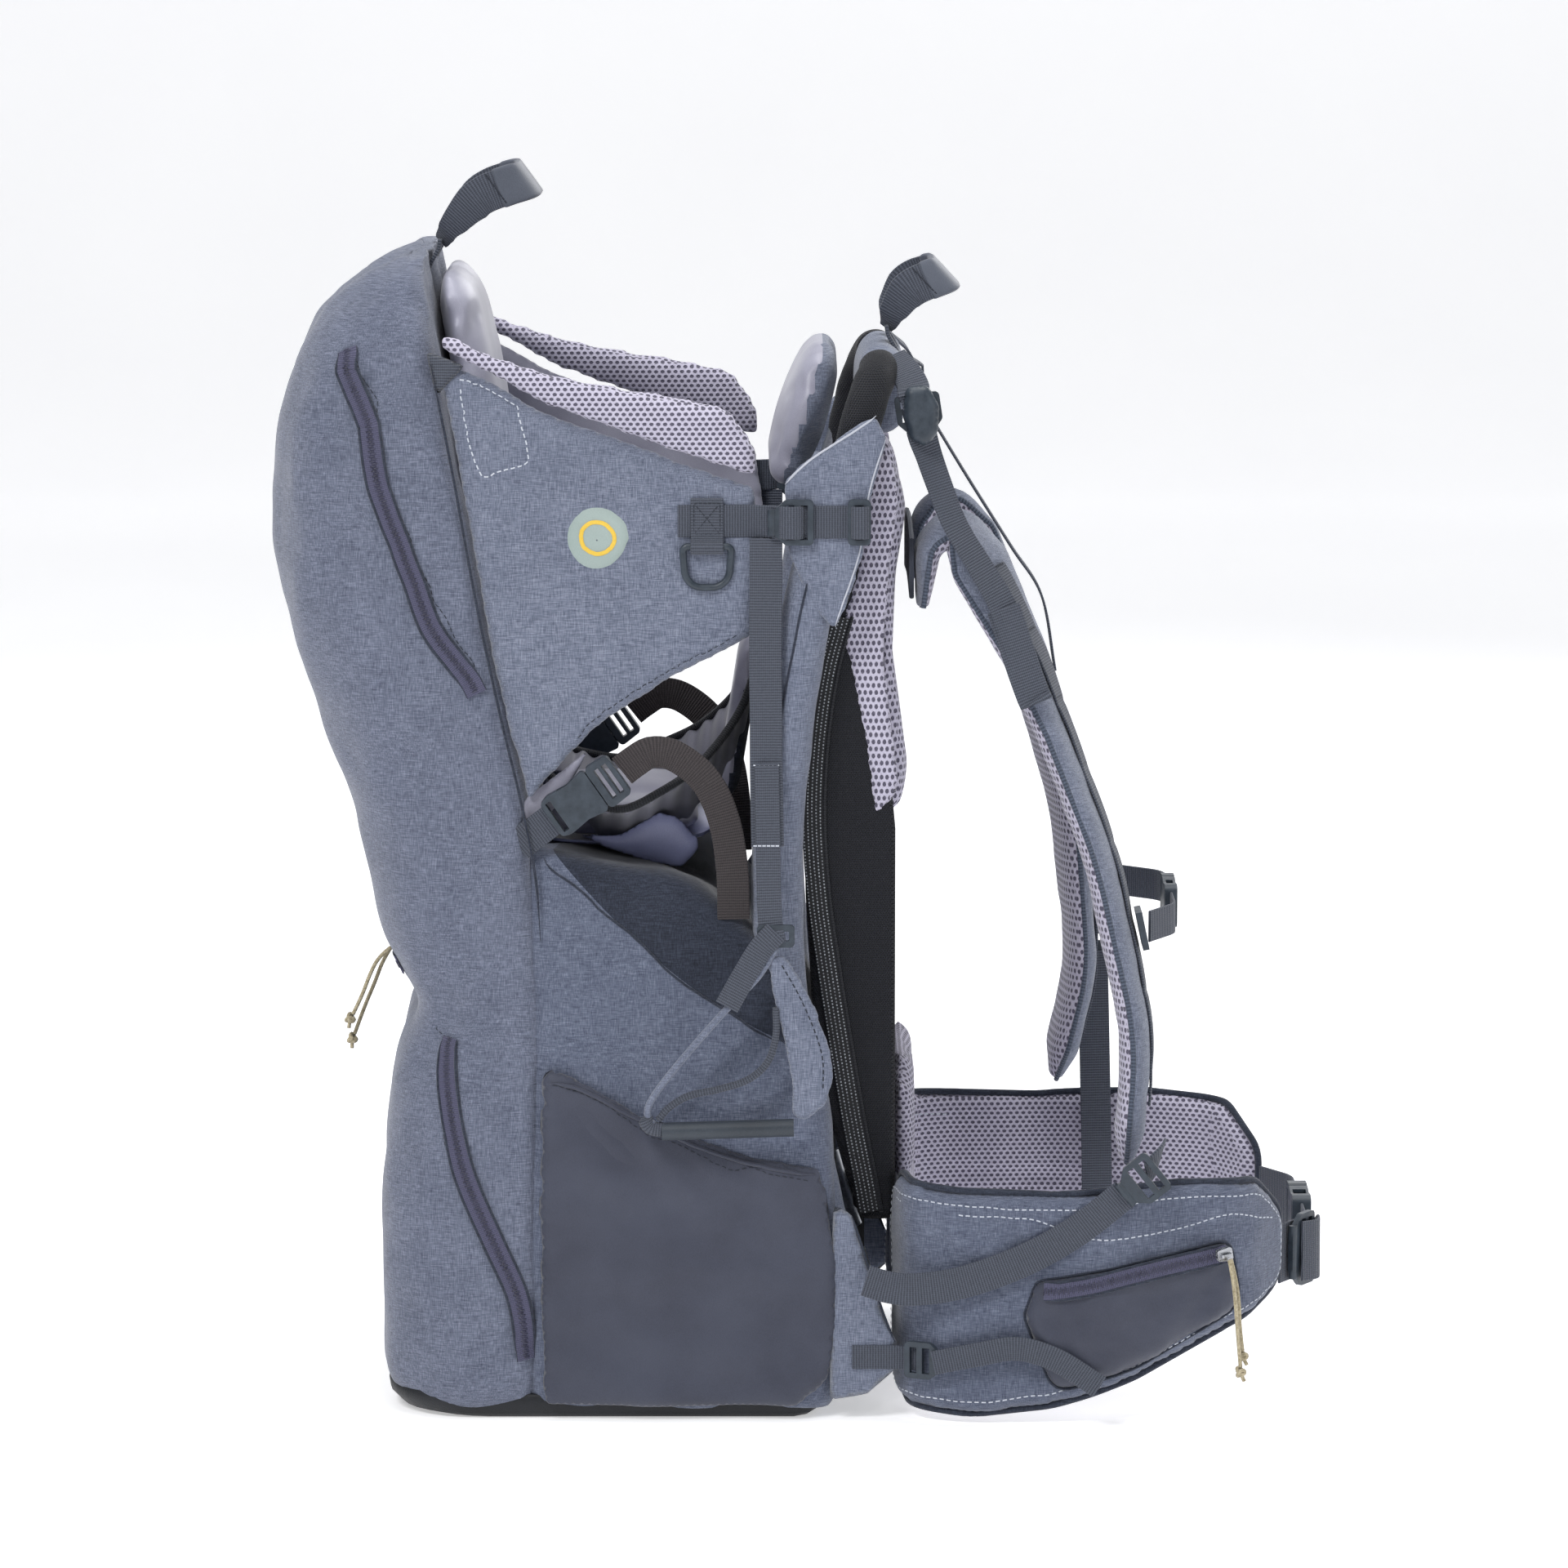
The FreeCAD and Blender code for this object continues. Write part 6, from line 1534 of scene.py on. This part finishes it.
CORDS = {  # each strand from its slider to its knot: body, CAD node, knots' node, length in metres, points in metres
    "lower_a": ("zip_lower", "zip_knots_lower", 0.0497, [(-0.1426, -0.0018, 0.2720), (-0.150, -0.0022, 0.2665),
                                                         (-0.156, -0.003, 0.255), (-0.161, -0.0036, 0.241),
                                                         (-0.167, -0.0034, 0.229)]),
    "lower_b": ("zip_lower", "zip_knots_lower", 0.0612, [(-0.1426, 0.0018, 0.2715), (-0.148, 0.0024, 0.263),
                                                         (-0.153, 0.0032, 0.249), (-0.160, 0.0036, 0.233),
                                                         (-0.1665, 0.0032, 0.215)]),
    "hip_a": ("zip_hip", "zip_knots_hip", 0.0677, [(0.3826, -0.1654, 0.105), (0.3845, -0.168, 0.096),
                                                   (0.3865, -0.1686, 0.079), (0.388, -0.1676, 0.059),
                                                   (0.390, -0.1672, 0.038)]),
    "hip_b": ("zip_hip", "zip_knots_hip", 0.0586, [(0.3836, -0.1624, 0.105), (0.3865, -0.1636, 0.095),
                                                   (0.389, -0.164, 0.077), (0.3895, -0.163, 0.062),
                                                   (0.3915, -0.1624, 0.047)]),
}


def pull_cord(name):
    """A free strand on a zip slider: a smooth curve, an overhand knot and its short tail."""
    body, knots, length, points = CORDS[name]
    data = bpy.data.curves.new("zip_cord_" + name + "_strand", "CURVE")
    data.dimensions = "3D"
    data.bevel_depth = 0.00125
    data.bevel_resolution = 4
    data.resolution_u = 16
    spline = data.splines.new("NURBS")
    spline.points.add(len(points) - 1)
    for control, point in zip(spline.points, points):
        control.co = (*point, 1.0)
    spline.order_u = 3
    spline.use_endpoint_u = True
    data.materials.append(CORD)
    strand = bpy.data.objects.new(data.name, data)
    bpy.context.collection.objects.link(strand)
    bare = data.copy()
    bare.bevel_depth = 0.0
    line = bpy.data.objects.new("cord_line", bare)
    run = [tuple(v.co / MM) for v in bpy.data.meshes.new_from_object(line).vertices]
    bpy.data.objects.remove(line)
    end, before = np.asarray(run[-1]), np.asarray(run[-4])
    step = (end - before) / np.linalg.norm(end - before)
    side = np.cross(step, (0.0, 1.0, 0.0))
    side /= np.linalg.norm(side)
    out = np.cross(side, step)
    turns = []
    for t in np.linspace(0, 2 * math.pi, 40):
        turns.append(end + step * (3.2 - 2.6 * math.cos(t) * 0.6 + 1.2 * math.sin(3 * t))
                     + side * (2.2 * math.sin(2 * t)) + out * (1.9 * math.cos(2 * t) * 0.8))
    knot = tube("zip_knot_" + name, turns, 1.3, CORD, body, sides=8)
    stub = flowing([end + step * 3.0, end + step * 6.4 + side * 0.6, end + step * 9.2 + side * 1.6], 1.0)
    frayed = tube("zip_tail_" + name, stub, 1.2, CORD, body, sides=8)
    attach(strand, body)
    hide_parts("zip_cord_" + name)
    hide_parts(knots)


# --- Side pockets

POCKET_FOLDS = [((-30, 205), (30, 150), 10, 1.6), ((-20, 190), (60, 110), 14, 1.4), ((20, 196), (60, 150), 8, 1.4),
                ((80, 166), (96, 110), 9, 1.2), ((120, 150), (100, 80), 10, 1.2), ((-34, 60), (30, 30), 10, 1.0),
                ((120, 40), (60, 20), 10, 1.2), ((50, 178), (100, 150), 6, 1.2)]


def side_pocket(side, name):
    """The stretch bottle pocket: a slack pouch with an elastic hem, pulled into soft folds."""
    outline = [(-40, 222, 2), (-12, 213, 30), (14, 199, 40), (50, 181, 40), (90, 167, 40), (131, 161, 3),
               (140, 110, 30), (141, 60, 30), (136, 26, 16), (116, 9, 14), (-42, 9, 3), (-43, 120, 60)]
    belly = lambda a, b: 1.8 * math.exp(-((a - 50) / 60) ** 2 - ((b - 90) / 60) ** 2)
    pouch = pad("side_pocket_" + name, outline, beside(side, 151.5), dome(3.4, 7), dome(0.6, 3), STRETCH, step=5.0,
                relief=belly)
    wrinkle(pouch, 2.4, (60, 40, 44), seed=21.0 + side)
    folds(pouch, side * 156, POCKET_FOLDS)
    soften(pouch)
    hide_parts("side_pockets")
    tree = tree_of(pouch)
    hem = level(side * 165, ((-39, 220), (-12, 211.5), (14, 197.5), (50, 179.5), (90, 165.5), (129, 159.5)))
    piping("pocket_hem_" + name, hem, tree, 1.3, STRETCH)
    low = [(x, side * 165, z - 7) for x, z in ((-37, 220), (-12, 211.5), (14, 197.5), (50, 179.5), (90, 165.5),
                                               (128, 159.5))]
    sewn("pocket_stitch_" + name, low, tree, THREAD_DARK, size=0.3)


# --- Finishes for the CAD hardware

def finish_hardware():
    """Materials for the CAD nodes that stay as they are."""
    kinds = {
        "frame_hoop": ALUMINIUM, "crossbars": ALUMINIUM, "base_tube": ALUMINIUM, "base_brackets": BRACKET,
        "base_bolts": STEEL,
        "d_ring_right": PLASTIC, "d_ring_left": PLASTIC, "stirrup_bar_right": RUBBER, "stirrup_bar_left": RUBBER,
        "leg_plug_right": PLASTIC, "leg_plug_left": PLASTIC, "buckle_sockets": PLASTIC, "sternum_socket": PLASTIC,
        "sternum_plug": PLASTIC, "hip_plug": PLASTIC, "ladder_locks": PLASTIC, "zip_slider_lower": ZIP_METAL,
        "zip_slider_upper": ZIP_METAL, "zip_slider_hip": ZIP_METAL,
    }
    for node, finish in kinds.items():
        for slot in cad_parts[node].material_slots:
            slot.material = finish


# --- Assembly

studio()
photo_camera()
for name in CORDS:
    pull_cord(name)
rear = rear_body()
bag_front()
base_tray()
pack_zips(tree_of(rear))
for name, side in SIDES.items():
    cockpit_details(side, name, cockpit(side, name))
    side_pocket(side, name)
    frame_cover(side, name)
    back_side(side, name)
    shoulder_strap(name)
    hip_belt(side, name)
    pack_webbing(side, name)
    stirrup(side, name, "stirrup_" + name[0])
back_system()
harness_webbing()
seat_and_pads()
crossing_webs()
haul("haul_loop_rear", (-106, 722), 34, 66.5, 24, 54, "rear_haul")
haul("haul_loop_front", (172, 668), 30, 50, 24, 47, "front_haul")
finish_hardware()
